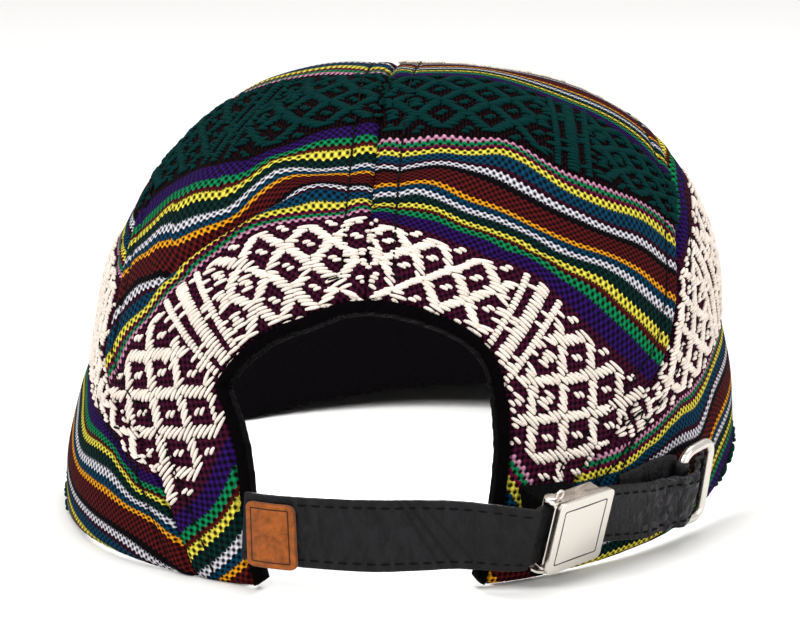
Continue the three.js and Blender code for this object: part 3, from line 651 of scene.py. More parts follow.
def beside_crease(flat, crease, hidden, above=1):
    """How much a fold hides beside each place, and how far above its crease the place lies."""
    q = flat.reshape(-1, 2)
    start, run = crease[:-1], np.diff(crease, axis=0)
    size = np.linalg.norm(run, axis=1)
    share = np.clip(((q[:, None] - start) * run).sum(-1) / size**2, 0, 1)
    offset = q[:, None] - start - share[..., None] * run
    gap = np.linalg.norm(offset, axis=-1)
    nearest = gap.argmin(1)
    index = np.arange(len(q))
    turned_by = (run[nearest, 0] * offset[index, nearest, 1]
                 - run[nearest, 1] * offset[index, nearest, 0])
    side = above * np.sign(turned_by)
    before = np.r_[0, np.cumsum(size)]
    travelled = (before[nearest] + share[index, nearest] * size[nearest]) / before[-1]
    far = np.clip((gap[index, nearest] - FOLD_KEEPS) / FOLD_FADES, 0, 1)
    depth = hidden * np.sin(np.pi * travelled) ** 1.3 * (1 - far**2 * (3 - 2 * far))
    return depth.reshape(flat.shape[:-1]), (side * gap[index, nearest]).reshape(flat.shape[:-1])


def cubic_weights(position, count):
    """First of four grid lines round a position and their smooth weights."""
    x = np.clip(position, 0, 1) * count
    k = np.minimum(np.floor(x).astype(int), count - 1)
    u = x - k
    weights = [
        -0.5 * u**3 + u**2 - 0.5 * u, 1.5 * u**3 - 2.5 * u**2 + 1,
        -1.5 * u**3 + 2 * u**2 + 0.5 * u, 0.5 * u**3 - 0.5 * u**2]
    return k, weights


def smooth_sample(grid, a, b):
    """Smooth value of a coarse grid of numbers or points at shares a and b."""
    padded = np.concatenate([2 * grid[:1] - grid[1:2], grid, 2 * grid[-1:] - grid[-2:-1]], 0)
    padded = np.concatenate(
        [2 * padded[:, :1] - padded[:, 1:2], padded, 2 * padded[:, -1:] - padded[:, -2:-1]], 1)
    i, across = cubic_weights(a, grid.shape[0] - 1)
    j, along = cubic_weights(b, grid.shape[1] - 1)
    total = 0
    for m in range(4):
        for n in range(4):
            weight = across[m] * along[n]
            value = padded[i + m, j + n]
            if value.ndim > weight.ndim:
                weight = weight[..., None]
            total = total + weight * value
    return total


# The weave from the pink end of a group of stripes: rows and colour of each stripe
STRIPES = [
    ("pink", 1, "#b67d98"),
    ("green", 1, "#0b7445"),
    ("crimson", 1, "#5f1033"),
    ("yellow", 2, "#cfc243"),
    ("blue", 3, "#07364e"),
    ("plum", 1, "#330d1e"),
    ("white", 2, "#c3c1c8"),
    ("black", 2, "#0b090b"),
    ("dark red", 6, "#4b1314"),
    ("orange", 2, "#d99118"),
    ("blue", 2, "#07364e"),
    ("white", 2, "#c3c1c8"),
    ("dark green", 3, "#062521"),
    ("yellow", 2, "#cfc243"),
    ("dark red", 1, "#4b1314"),
    ("light green", 2, "#0b7445"),
    ("purple", 4, "#260f4e"),
]
# A bright line stands this part of a row short of its two rows on each side, as a chain of rings
THIN = 0.25
# Height of a row, and widths of a group's stripes, of its figured ground and of groups together
ROW = 0.86
STRIPED = ROW * sum(rows for _, rows, _ in STRIPES)
GROUND = 30.0
GROUP = STRIPED + GROUND
REPEAT = 2 * GROUP
BLACK_END = GROUP + STRIPED

# How many rows above the pink end the middle of each bright line lies
PINK, YELLOW_LOW, WHITE_LOW, ORANGE, WHITE_HIGH, YELLOW_HIGH, LIGHT_GREEN, PURPLE_END = (
    0, 4, 10, 20, 24, 29, 32, 37)

# Places read in the photograph, in its pixels, where a line of the weave runs over a panel:
# how far the group's pink end is across the cloth, the line's rows above it, and the places
LINES = {
    "top_panel_right": [
        (0, PINK, [
            (385, 139), (400, 138.5), (420, 136), (440, 133.5), (460, 136), (480, 139.5), (497, 138),
            (520, 146), (540, 159.5), (560, 170.5), (580, 177.5), (600, 185.5), (620, 193),
            (640, 200), (655, 208.5), (670, 220)]),
        (0, YELLOW_LOW, [
            (385, 154), (400, 154), (420, 153), (433, 151), (460, 153.5), (480, 153), (495, 150.5),
            (510, 154), (530, 163), (545, 173), (560, 184), (580, 194.5), (600, 202), (620, 208),
            (640, 215), (655, 225), (665, 234), (672, 241)]),
        (0, WHITE_LOW, [
            (383, 167), (400, 169.5), (410, 167), (430, 162.5), (450, 162), (465, 165.5), (480, 169),
            (500, 176), (520, 187), (540, 197.5), (560, 207.5), (580, 215.5), (600, 226),
            (620, 234.5), (640, 241.5), (650, 248), (660, 258), (672, 266)]),
        (0, ORANGE, [
            (378, 185), (395, 184), (405, 183), (420, 181), (435, 182.5), (450, 189), (465, 197),
            (480, 202), (500, 209), (520, 218.5), (540, 228), (560, 238), (580, 246), (600, 252),
            (620, 259), (640, 270), (650, 279), (662, 290), (673, 298)]),
        (0, WHITE_HIGH, [
            (376, 195), (395, 194.5), (405, 192.5), (415, 190), (430, 196), (450, 203), (465, 209.5),
            (480, 214), (500, 219), (520, 228), (540, 238.5), (560, 248), (580, 256.5), (600, 261),
            (620, 271), (640, 287), (650, 296.5), (660, 305), (672, 315)]),
        (0, YELLOW_HIGH, [
            (374, 206), (390, 205), (405, 205), (420, 206), (435, 208.5), (450, 216), (460, 222),
            (480, 228), (500, 234.5), (520, 242.5), (540, 252), (560, 262), (580, 271), (600, 281),
            (610, 289), (620, 300), (635, 312), (648, 323), (655, 330), (665, 341)]),
        (0, LIGHT_GREEN, [
            (400, 212), (420, 216), (440, 220), (460, 229), (480, 235), (500, 244), (520, 250),
            (540, 261), (560, 274), (580, 285), (600, 301), (610, 311), (620, 319), (632, 330),
            (640, 340), (650, 350), (658, 358)]),
        (0, PURPLE_END, [
            (372, 217), (390, 221), (405, 226), (420, 230), (440, 236.5), (460, 245), (480, 252),
            (500, 260), (520, 267), (540, 276), (560, 296), (580, 316), (600, 336), (614, 350),
            (634, 366), (646, 380)]),
        (GROUP, PINK, [(512, 454), (517, 456), (521, 462), (527, 470), (531, 478), (539, 487)]),
        (GROUP, YELLOW_LOW, [(514, 488), (520, 499)]),
        (-GROUP, PURPLE_END, [(400, 78), (440, 76), (590, 113), (622, 135), (642, 150), (656, 168)]),
        (-GROUP, YELLOW_HIGH, [
            (380, 72), (420, 71.5), (440, 69.5), (575, 101), (590, 108), (642, 138), (652, 150),
            (660, 158)]),
    ],
    "top_panel_left": [
        (GROUP, PURPLE_END, [
            (376, 123), (340, 128), (320, 131), (300, 141), (280, 150), (260, 155), (240, 160),
            (220, 163), (200, 168), (180, 178), (160, 190), (150, 203)]),
        (GROUP, LIGHT_GREEN, [
            (376, 138), (360, 141), (340, 142), (320, 143), (305, 147), (290, 153), (275, 157),
            (250, 175), (235, 178), (220, 180), (200, 184), (190, 188), (180, 195), (165, 202),
            (157, 211), (152, 222)]),
        (GROUP, YELLOW_HIGH, [
            (372, 149), (355, 151), (340, 153), (320, 155), (305, 157), (290, 159.5), (275, 161.5),
            (262, 168), (250, 177), (242, 184), (236, 190), (225, 193), (210, 195), (195, 197),
            (185, 202), (175, 208), (162, 214), (155, 221)]),
        (GROUP, WHITE_HIGH, [
            (375, 166), (362, 167), (348, 169), (325, 173), (310, 173), (290, 172.5), (280, 171.5),
            (270, 175.5), (260, 182), (250, 191), (245, 197), (240, 204), (235, 210), (225, 213),
            (210, 217), (195, 221), (180, 226), (165, 232), (150, 238), (146, 246)]),
        (GROUP, ORANGE, [
            (370, 171), (355, 174), (300, 175), (285, 178.5), (275, 184.5), (265, 191), (258, 196.5),
            (252, 203), (245, 211), (238, 218), (225, 224), (210, 230), (195, 236), (180, 241),
            (165, 245), (150, 249.5), (140, 257)]),
        (GROUP, WHITE_LOW, [
            (370, 189), (360, 188), (345, 188), (335, 185), (320, 183), (310, 186), (300, 190),
            (178, 272.5), (170, 276), (160, 280), (150, 284), (140, 288.5), (130, 294)]),
        (GROUP, YELLOW_LOW, [
            (368, 200), (350, 203), (340, 208), (320, 209), (300, 210), (280, 212), (265, 217),
            (250, 223), (240, 229), (225, 239), (210, 249), (200, 256), (190, 263), (180, 271),
            (170, 281), (162, 291), (155, 299), (148, 310), (140, 315), (132, 322), (125, 328),
            (120, 338)]),
        (GROUP, PINK, [
            (340, 217), (320, 217.5), (300, 220.5), (285, 223), (270, 226), (255, 231), (240, 239),
            (222, 251), (208, 261), (196, 271), (184, 281), (172, 292), (160, 304), (148, 319),
            (136, 332), (128, 346), (123, 362)]),
        (0, PURPLE_END, [(226, 440), (212, 470), (200, 494), (174, 518)]),
        (0, LIGHT_GREEN, [(180, 540), (196, 526), (210, 518), (220, 504), (230, 488), (236, 472)]),
        (0, YELLOW_HIGH, [(188, 558), (208, 538), (226, 522), (236, 506)]),
        (0, WHITE_HIGH, [(200, 578), (218, 566), (232, 552), (241, 540)]),
        (0, ORANGE, [(220, 582), (234, 572), (244, 564)]),
        (REPEAT, PINK, [(262, 88), (300, 78), (335, 67), (380, 75)]),
    ],
    "side_panel_left": [
        (0, WHITE_LOW, [(69, 476), (80, 504), (110, 531), (146, 558)]),
        (0, ORANGE, [(80, 470), (96, 485), (114, 499), (140, 512), (160, 525), (178, 541)]),
        (0, WHITE_HIGH, [(82, 458), (100, 472), (116, 482), (140, 504), (168, 522)]),
        (0, YELLOW_HIGH, [(83, 388), (82, 412), (85, 434), (100, 443), (114, 454), (126, 474),
                          (140, 493), (160, 500)]),
        (0, LIGHT_GREEN, [(88, 392), (88, 414), (92, 428), (110, 445), (122, 460), (136, 480),
                          (150, 485)]),
        (0, PURPLE_END, [(94, 404), (108, 426), (124, 456), (146, 472)]),
    ],
    "side_panel_right": [
        (0, LIGHT_GREEN, [(672, 165), (671, 185), (675, 205)]),
        (0, PURPLE_END, [(681, 165), (685, 192), (689, 208), (690, 228), (686, 243), (676, 254)]),
        (GROUP, PINK, [
            (612, 449), (620, 445.5), (640, 436), (650, 427), (660, 420), (668, 412), (676, 405),
            (688, 394)]),
        (GROUP, YELLOW_LOW, [
            (598, 473), (610, 470), (620, 467), (636, 457), (645, 449), (655, 443), (662, 436),
            (668, 425), (682, 407), (698, 396), (708, 378)]),
        (GROUP, WHITE_LOW, [
            (650, 460), (660, 454), (670, 447), (680, 440), (700, 434), (708, 414), (712, 386),
            (726, 362)]),
        (GROUP, ORANGE, [(712, 430), (722, 410), (730, 386)]),
        (GROUP, YELLOW_HIGH, [(590, 562), (620, 550), (650, 538)]),
        (GROUP, PURPLE_END, [(731, 438), (726, 460), (717, 482), (706, 505)]),
    ],
}

# A fold that hides some rows of the cloth: its crease, a place above it and the millimetres it hides
FOLD_HIDES = 9.6
FOLDS = {
    "top_panel_left": (
        [(146, 303), (160, 285), (178, 270), (203, 250), (238, 228), (262, 212), (285, 200),
         (303, 190)], (230, 200), FOLD_HIDES),
}

# Where the widest bar of the brocade is seen in each panel, on the maroon and on the black ground
BAR_PLACES = {
    "top_panel_right": {"cream": (519, 332), "green": (572, 150)},
    "top_panel_left": {"cream": (200, 325), "green": (207, 172)},
    "side_panel_right": {"cream": (640, 422)},
}

# How far above a crease a place counts as, where a panel has no fold
NO_FOLD = 99.0
# How loosely the stripes follow the places read, and how wide the jump at a fold's crease is
READING_SOFTNESS = 0.0006
CREASE_WIDTH = 0.35
# Distance across the stripes at which the front panel starts, as the photograph doesn't show it
FRONT_START = 6
# The grid on which the threads are searched for, and how many are searched for at once
SEARCH_GRID = (89, 119)
AT_ONCE = 500


def find_shares(seen_at, wanted, shares, rounds, reach, limits, firmness=0.0):
    """Moves shares a and b, in small steps, until what is seen there is what is wanted."""
    step = 1e-3
    for _ in range(rounds):
        here = seen_at(shares)
        rises = [seen_at(shares + nudge) - here for nudge in ([step, 0], [0, step])]
        slope = np.stack(rises, -1) / step + np.eye(2) * firmness
        move = np.linalg.solve(slope, (wanted - here)[..., None])[..., 0]
        shares = np.clip(shares + np.clip(move, -reach, reach), *limits)
    return shares


class Panel:
    """One cloth panel: its place on the crown and the threads that run over it."""

    def __init__(self, name, place, columns, rows, stitched):
        self.name = name
        self.place = place
        self.stitched = stitched
        a, b = share_grid(columns, rows)
        points = crown_at(place(a, b))
        quads = grid_quads(columns, rows)
        triangles = np.vstack([quads[:, [0, 1, 2]], quads[:, [0, 2, 3]]])
        self.flat = flatten(points.reshape(-1, 3), triangles)
        self.flat_grid = self.flat.reshape(*a.shape, 2)
        self.size = (np.linalg.norm(np.diff(points, axis=0), axis=-1).sum(0).max(),
                     np.linalg.norm(np.diff(points, axis=1), axis=-1).sum(1).max())
        self.folded = lambda flat: (np.zeros(flat.shape[:-1]), np.full(flat.shape[:-1], NO_FOLD))
        if name in FOLDS:
            places, above, hidden = FOLDS[name]
            pixels = np.array([*places, above], float)
            spots = self.flat_at(self.under_pixels(pixels, a, b, points))
            side = np.sign(beside_crease(spots[-1:], spots[:-1], hidden)[1][0])
            self.folded = lambda flat: beside_crease(flat, spots[:-1], hidden, side)
        self.field = self.read_lines(a, b, points)
        across = self.field(self.flat_grid)
        self.along = self.along_threads(across.ravel(), triangles).reshape(a.shape)
        self.bars = {}
        for word, place in BAR_PLACES.get(name, {}).items():
            spot = self.under_pixels(np.array([place], float), a, b, points)
            self.bars[word] = smooth_sample(self.along, spot[:, 0], spot[:, 1])[0]

    def read_lines(self, a, b, points):
        """Smooth field of the distance across the stripes, apart from what a fold hides."""
        if self.name not in LINES:
            low = self.flat_grid[..., 1].min()
            return lambda flat: FRONT_START + flat[..., 1] - low
        spots, values, facing = [], [], []
        for base, rows, places in LINES[self.name]:
            shares = self.under_pixels(np.array(places, float), a, b, points)
            spot, out = on_crown(self.place(*shares.T))
            facing.append((unit(camera_axes()[0] - spot) * out).sum(1))
            found = self.flat_at(shares)
            spots.append(found)
            values.append(base + rows * ROW - self.hidden_at(found))
        softness = READING_SOFTNESS / np.clip(np.concatenate(facing), 0.1, 1) ** 2
        return thin_plate(np.vstack(spots), np.concatenate(values), softness)

    def hidden_at(self, flat):
        """Millimetres of cloth that the fold has taken up before a place."""
        depth, away = self.folded(flat)
        return depth * (0.5 + 0.5 * np.tanh(away / CREASE_WIDTH))

    def flat_at(self, shares):
        """Flat places of the panel at shares a and b."""
        return smooth_sample(self.flat_grid, shares[..., 0], shares[..., 1])

    def spot_at(self, shares):
        """Points of the crown at shares a and b."""
        return crown_at(self.place(*shares.T))

    def under_pixels(self, pixels, a, b, points):
        """Shares a and b of the panel under pixels of the photograph."""
        seen = to_image(points)
        facing = ((camera_axes()[0] - points) * crown_normal(self.place(a, b))).sum(-1) > 0
        far = np.linalg.norm(seen[None] - pixels[:, None, None], axis=-1) + 1e4 * ~facing
        nearest = far.reshape(len(pixels), -1).argmin(1)
        shares = np.stack([a.ravel()[nearest], b.ravel()[nearest]], -1)
        return find_shares(lambda p: to_image(self.spot_at(p)), pixels, shares, 8, 0.08,
                           (0.002, 0.998))

    def along_threads(self, across, triangles):
        """Distance along the stripes, square to the distance across them and in real millimetres."""
        local = self.flat[triangles]
        weights = cotangents(local)
        edge_one, edge_two = local[:, 1] - local[:, 0], local[:, 2] - local[:, 0]
        area = edge_one[:, 0] * edge_two[:, 1] - edge_one[:, 1] * edge_two[:, 0]
        rise_one = across[triangles[:, 1]] - across[triangles[:, 0]]
        rise_two = across[triangles[:, 2]] - across[triangles[:, 0]]
        slope = np.stack([rise_one * edge_two[:, 1] - rise_two * edge_one[:, 1],
                          rise_two * edge_one[:, 0] - rise_one * edge_two[:, 0]], -1) / area[:, None]
        slope = unit(slope)
        wanted = np.stack([slope[:, 1], -slope[:, 0]], -1)
        pull = np.zeros(len(self.flat))
        for k, weight in enumerate(weights):
            i, j = k, (k + 1) % 3
            rise = ((local[:, i] - local[:, j]) * wanted).sum(1) * weight
            np.add.at(pull, triangles[:, i], rise)
            np.add.at(pull, triangles[:, j], -rise)
        pull[0] = 0
        return np.linalg.solve(stiffness(len(self.flat), triangles, weights), pull)

    def thread_at(self, a, b, folded=True):
        """Distance along and across the stripes at shares a and b, with or without the fold."""
        flat = self.flat_at(np.stack([a, b], -1))
        across = np.concatenate([self.field(part) for part in np.array_split(flat, 8)])
        if folded:
            across = across + self.hidden_at(flat)
        return np.stack([smooth_sample(self.along, a, b), across], -1)

    def find(self, threads):
        """Shares a and b of places on the threads, and which of them lie on the panel."""
        a, b = share_grid(*SEARCH_GRID)
        known = self.thread_at(a, b).reshape(-1, 2)
        p = np.empty_like(threads)
        for start in range(0, len(threads), AT_ONCE):
            part = slice(start, start + AT_ONCE)
            nearest = np.linalg.norm(known[None] - threads[part, None], axis=-1).argmin(1)
            p[part] = np.stack([a.ravel()[nearest], b.ravel()[nearest]], -1)
        p = find_shares(lambda q: self.thread_at(*q.T), threads, p, 5, 0.05, (0, 0.998), 1e-9)
        return p, np.linalg.norm(self.thread_at(*p.T) - threads, axis=-1) < 0.1


def edge_points(panel, edge):
    """Points along one edge of a panel: its start and end across, or its foot and head."""
    t = np.linspace(0, 1, 300)
    line = {"start": (0 * t, t), "end": (0 * t + 1, t), "foot": (t, 0 * t), "head": (t, 0 * t + 1)}
    return crown_at(panel.place(*line[edge]))


def nearest_on(line, flat):
    """Which place of a line is nearest to each point, and how far it is."""
    nearest, away = np.empty(len(flat), int), np.empty(len(flat))
    for start in range(0, len(flat), 4000):
        part = slice(start, start + 4000)
        gap = np.linalg.norm(flat[part, None] - line[None], axis=-1)
        nearest[part], away[part] = gap.argmin(1), gap.min(1)
    return nearest, away


# How far a seam's roll reaches, and height and width of the swelling between it and its stitches
SEAM_ROLL = 0.9
SEAM_SWELLING = (0.35, 2.2)
# Depth and width of the groove that the topstitching presses in
STITCH_GROOVE = (0.62, 0.62)
# A fold's waves over its full depth: height, place above the crease and width
FOLD_WAVES = ((1.7, -1.3, 1.5), (-1.3, 0.7, 0.9), (0.8, 5.5, 3.2))


def relief(panel, a, b, points, settings):
    """How far the cloth stands off the crown: rolled seams, stitch grooves, folds and soft waves."""
    flat = points.reshape(-1, 3)
    height = np.zeros(len(flat))
    groove = settings.stitch_line / MM
    # Rolled seams, with the swelling and the stitch groove beside them
    for edge, stitched_from in panel.stitched.items():
        line = edge_points(panel, edge)
        nearest, away = nearest_on(line, flat)
        height -= settings.seam_dip / MM * swell(away, 0, SEAM_ROLL)
        if stitched_from is None:
            continue
        held = np.clip((nearest / (len(line) - 1) - stitched_from) * 40, 0, 1)
        pucker = 0.8 + 0.2 * np.cos(2 * np.pi * travel(line)[nearest] / (settings.stitch / MM))
        height += SEAM_SWELLING[0] * held * swell(away, groove / 2, SEAM_SWELLING[1])
        height -= STITCH_GROOVE[0] * held * pucker * swell(away, groove, STITCH_GROOVE[1])
    # Soft waves of the cloth, a few tenths of a millimetre high
    x, y, z = flat.T
    height += 0.22 * np.sin(x / 9.1 + 0.4 * np.sin(z / 7)) * np.sin(z / 11.3 + y / 17)
    height += 0.12 * np.sin(x / 4.3 + z / 5.9 + y / 8.1)
    depth, above = panel.folded(panel.flat_at(np.stack([a, b], -1)))
    for rise, place, width in FOLD_WAVES:
        height += depth.ravel() / FOLD_HIDES * rise * swell(above.ravel(), place, width)
    return height.reshape(points.shape[:-1])


def offset_line(panel, edge, distance, start):
    """Shares a and b of a line that runs beside an edge of a panel, at a distance in millimetres."""
    t = np.linspace(max(start, 0.004), 0.996, 400)
    line = edge_points(panel, edge)
    inward = np.full(len(t), 0.08)
    for _ in range(12):
        shares = {"start": (inward, t), "end": (1 - inward, t), "head": (t, 1 - inward)}[edge]
        away = nearest_on(line, crown_at(panel.place(*shares)))[1]
        inward = np.clip(inward * np.clip(distance / np.maximum(away, 0.05), 0.5, 2), 0.001, 0.9)
    return shares


# Size of a panel's faces, and the coarse grids on which its threads are worked out
CLOTH_GRID = 1.0
TOP_GRID = (20, 44)
LOW_GRID = (36, 16)
SIDES = (("right", 1), ("left", -1))

# What a panel is sewn along: an edge, and the share of it from which it is topstitched
TOP_SEAMS = {"start": ARCH_GRID_ROWS / PANEL_ROWS, "end": 0.0, "head": 0.0, "foot": None}
LOW_SEAMS = {"start": 0.0, "end": 0.0, "head": 0.0, "foot": None}


def make_panels():
    """The five panels, with their threads worked out."""
    made = []
    for word, side in SIDES:
        made += [
            Panel(f"top_panel_{word}", partial(top_panel_disc, side), *TOP_GRID, TOP_SEAMS),
            Panel(f"side_panel_{word}", partial(side_panel_disc, side), *LOW_GRID, LOW_SEAMS),
        ]
    made.append(Panel("front_panel", front_panel_disc, *LOW_GRID, LOW_SEAMS))
    return {panel.name: panel for panel in made}


PANELS = make_panels()


def fill_inputs(tree, node, inputs):
    """Links sockets to a node's inputs, and sets its constants."""
    for name, value in dict(inputs).items():
        if isinstance(value, bpy.types.NodeSocket):
            tree.links.new(value, node.inputs[name])
        else:
            node.inputs[name].default_value = value


def add_node(tree, kind, inputs=(), output=0, bands=None, **settings):
    """Adds a node with its settings and links, and gives one of its outputs."""
    node = tree.nodes.new(kind)
    for name, value in settings.items():
        setattr(node, name, value)
    fill_inputs(tree, node, inputs)
    if bands:
        node.color_ramp.interpolation = "CONSTANT"
        elements = node.color_ramp.elements
        for place, tint in bands[1:]:
            elements.new(place)
        for element, (place, tint) in zip(elements, bands):
            element.position = place
        for element, (place, tint) in zip(elements, bands):
            element.color = (*tint, 1)
    return node.outputs[output]


def new_material(name):
    """What adds nodes to a new material, and what fills its shader's sockets and gives it."""
    material = bpy.data.materials.new(name)
    material.use_nodes = True
    tree = material.node_tree

    def finish(inputs):
        fill_inputs(tree, tree.nodes["Principled BSDF"], inputs)
        return material

    return partial(add_node, tree), finish


def striped_cotton(cloth):
    """Handwoven striped cotton: matte, with painted shade in the gaps between its thick rows and
    painted light on the crowns of its yarns.
    """
    add, finish = new_material("handwoven_striped_cotton")
    place = add("ShaderNodeUVMap", uv_map="cloth")
    drift = add("ShaderNodeTexNoise", {"Vector": place, "Scale": 0.09, "Detail": 2.0}, output="Color")
    drift = add("ShaderNodeVectorMath", {0: drift, 1: (0.5, 0.5, 0.5)}, operation="SUBTRACT")
    place = add("ShaderNodeVectorMath", {
        0: drift, 1: (0.8, 0.3, 0), 2: place}, operation="MULTIPLY_ADD")
    fold = add("ShaderNodeUVMap", uv_map="fold")
    along, across, above, hidden = (
        add("ShaderNodeSeparateXYZ", {0: spot}, output=axis) for spot in (place, fold) for axis in "XY")
    above = add("ShaderNodeMapRange", {"Value": above, "From Min": -0.1, "From Max": 0.1})
    across = add("ShaderNodeMath", {0: above, 1: hidden, 2: across}, operation="MULTIPLY_ADD")
    waves = []
    for distance, speed, wave in ((along, 2 * math.pi / (cloth.pick / MM), "COSINE"),
                                  (across, math.pi / ROW, "COSINE"),
                                  (along, 4 * math.pi / (cloth.pick / MM), "SINE")):
        angle = add("ShaderNodeMath", {0: distance, 1: speed}, operation="MULTIPLY")
        waves.append(add("ShaderNodeMath", {0: angle}, operation=wave))
    pick, row, rib = waves
    weave = add("ShaderNodeMath", {0: pick, 1: row}, operation="MULTIPLY")
    stepped = add("ShaderNodeMath", {0: weave, 1: 0.33, 2: across}, operation="MULTIPLY_ADD")
    group = add("ShaderNodeMath", {0: stepped, 1: GROUP}, operation="FLOORED_MODULO")
    share = add("ShaderNodeMath", {0: group, 1: GROUP}, operation="DIVIDE")
    stops, total, trim = [], 0, 0
    for word, rows, code in STRIPES:
        total -= trim
        trim = THIN if word in ("yellow", "white", "orange") else 0
        total += trim
        stops.append((total * ROW / GROUP, linear(code)))
        total += rows
    stops.append((STRIPED / GROUP, list(cloth.maroon)))
    bands = add("ShaderNodeValToRGB", {"Fac": share}, bands=stops)
    repeat = add("ShaderNodeMath", {0: stepped, 1: REPEAT}, operation="FLOORED_MODULO")
    second = add("ShaderNodeMath", {0: repeat, 1: BLACK_END}, operation="GREATER_THAN")
    rib = add("ShaderNodeMapRange", {"Value": rib, "From Min": 0.1, "From Max": 0.8})
    ribbed = add("ShaderNodeMix", {
        0: rib, 6: (*cloth.black, 1), 7: (*cloth.rib, 1)}, output=2, data_type="RGBA")
    bands = add("ShaderNodeMix", {0: second, 6: bands, 7: ribbed}, output=2, data_type="RGBA")
    # Painted shade: the base colour goes nearly black in the gaps between the yarns
    gap = add("ShaderNodeMapRange", {
        "Value": weave, "From Min": -0.12, "From Max": -0.55, "To Min": 0.0, "To Max": 0.96})
    yarn = add("ShaderNodeTexNoise", {"Vector": place, "Scale": 1.7, "Detail": 3.0})
    tone = add("ShaderNodeMapRange", {
        "Value": yarn, "From Min": 0.3, "From Max": 0.7, "To Min": 0.78, "To Max": 1.12})
    # Painted light and shade: each yarn lighter on its crown and darker on its flanks
    painted_yarn_light = add("ShaderNodeMapRange", {
        "Value": weave, "From Min": -0.3, "From Max": 0.8, "To Min": 0.5, "To Max": 1.3})
    tone = add("ShaderNodeMath", {0: tone, 1: painted_yarn_light}, operation="MULTIPLY")
    bands = add("ShaderNodeVectorMath", {0: bands, 3: tone}, operation="SCALE")
    base = add("ShaderNodeMix", {
        0: gap, 6: bands, 7: (0.003, 0.002, 0.003, 1)}, output=2, data_type="RGBA")
    fibre = add("ShaderNodeTexNoise", {"Vector": place, "Scale": 7.0, "Detail": 2.0})
    height = add("ShaderNodeMath", {0: fibre, 1: 0.25, 2: weave}, operation="MULTIPLY_ADD")
    bump = add("ShaderNodeBump", {"Height": height, "Strength": 0.9, "Distance": 0.3 * MM})
    return finish({"Base Color": base, "Roughness": 0.85, "Specular IOR Level": 0.02, "Normal": bump})


def brocade_yarn(name, tint):
    """Loose cotton yarn: soft and matte, with the twist of its plies."""
    add, finish = new_material(name)
    place = add("ShaderNodeUVMap", uv_map="cloth")
    along, round_it = (add("ShaderNodeSeparateXYZ", {0: place}, output=axis) for axis in "XY")
    twist = add("ShaderNodeMath", {0: along, 1: 1.1, 2: round_it}, operation="MULTIPLY_ADD")
    twist = add("ShaderNodeMath", {0: twist, 1: 2 * math.pi}, operation="MULTIPLY")
    twist = add("ShaderNodeMath", {0: twist}, operation="SINE")
    tone = add("ShaderNodeAttribute", output="Fac", attribute_name="tone")
    # Painted shade along the twist of the plies, over each yarn's own random tone
    tone = add("ShaderNodeMath", {0: twist, 1: 0.05, 2: tone}, operation="MULTIPLY_ADD")
    base = add("ShaderNodeVectorMath", {0: tint, 3: tone}, operation="SCALE")
    spot = add("ShaderNodeTexCoord", output="Object")
    fibre = add("ShaderNodeTexNoise", {"Vector": spot, "Scale": 2600.0, "Detail": 2.0})
    height = add("ShaderNodeMath", {0: fibre, 1: 0.6, 2: twist}, operation="MULTIPLY_ADD")
    bump = add("ShaderNodeBump", {"Height": height, "Strength": 0.5, "Distance": 0.1 * MM})
    return finish({"Base Color": base, "Roughness": 0.85, "Specular IOR Level": 0.03, "Normal": bump})


def black_twill(cloth):
    """Black cotton twill of the inside: matte, with fine slanting ribs."""
    return twill("black_cotton_twill", list(cloth.twill), 0.02)


def peak_twill(cloth):
    """Pressed black twill of the peak: the same ribs with a slight shine."""
    return twill("pressed_black_twill", list(cloth.peak), 0.14)


def twill(name, tint, gloss):
    """Cotton twill with slanting ribs 1.6 mm apart, wider than real ones so that they show."""
    add, finish = new_material(name)
    place = add("ShaderNodeUVMap", uv_map="cloth")
    ribs = add("ShaderNodeTexWave", {
        "Vector": place, "Scale": 0.32, "Distortion": 0.6, "Detail": 2.0, "Detail Scale": 1.0},
        bands_direction="DIAGONAL")
    fibre = add("ShaderNodeTexNoise", {"Vector": place, "Scale": 2.2, "Detail": 4.0})
    tone = add("ShaderNodeMath", {0: fibre, 1: 0.9, 2: 0.55}, operation="MULTIPLY_ADD")
    base = add("ShaderNodeVectorMath", {0: tint, 3: tone}, operation="SCALE")
    height = add("ShaderNodeMath", {0: fibre, 1: 0.7, 2: ribs}, operation="MULTIPLY_ADD")
    bump = add("ShaderNodeBump", {"Height": height, "Strength": 0.8, "Distance": 0.2 * MM})
    return finish({"Base Color": base, "Roughness": 0.9, "Specular IOR Level": gloss, "Normal": bump})


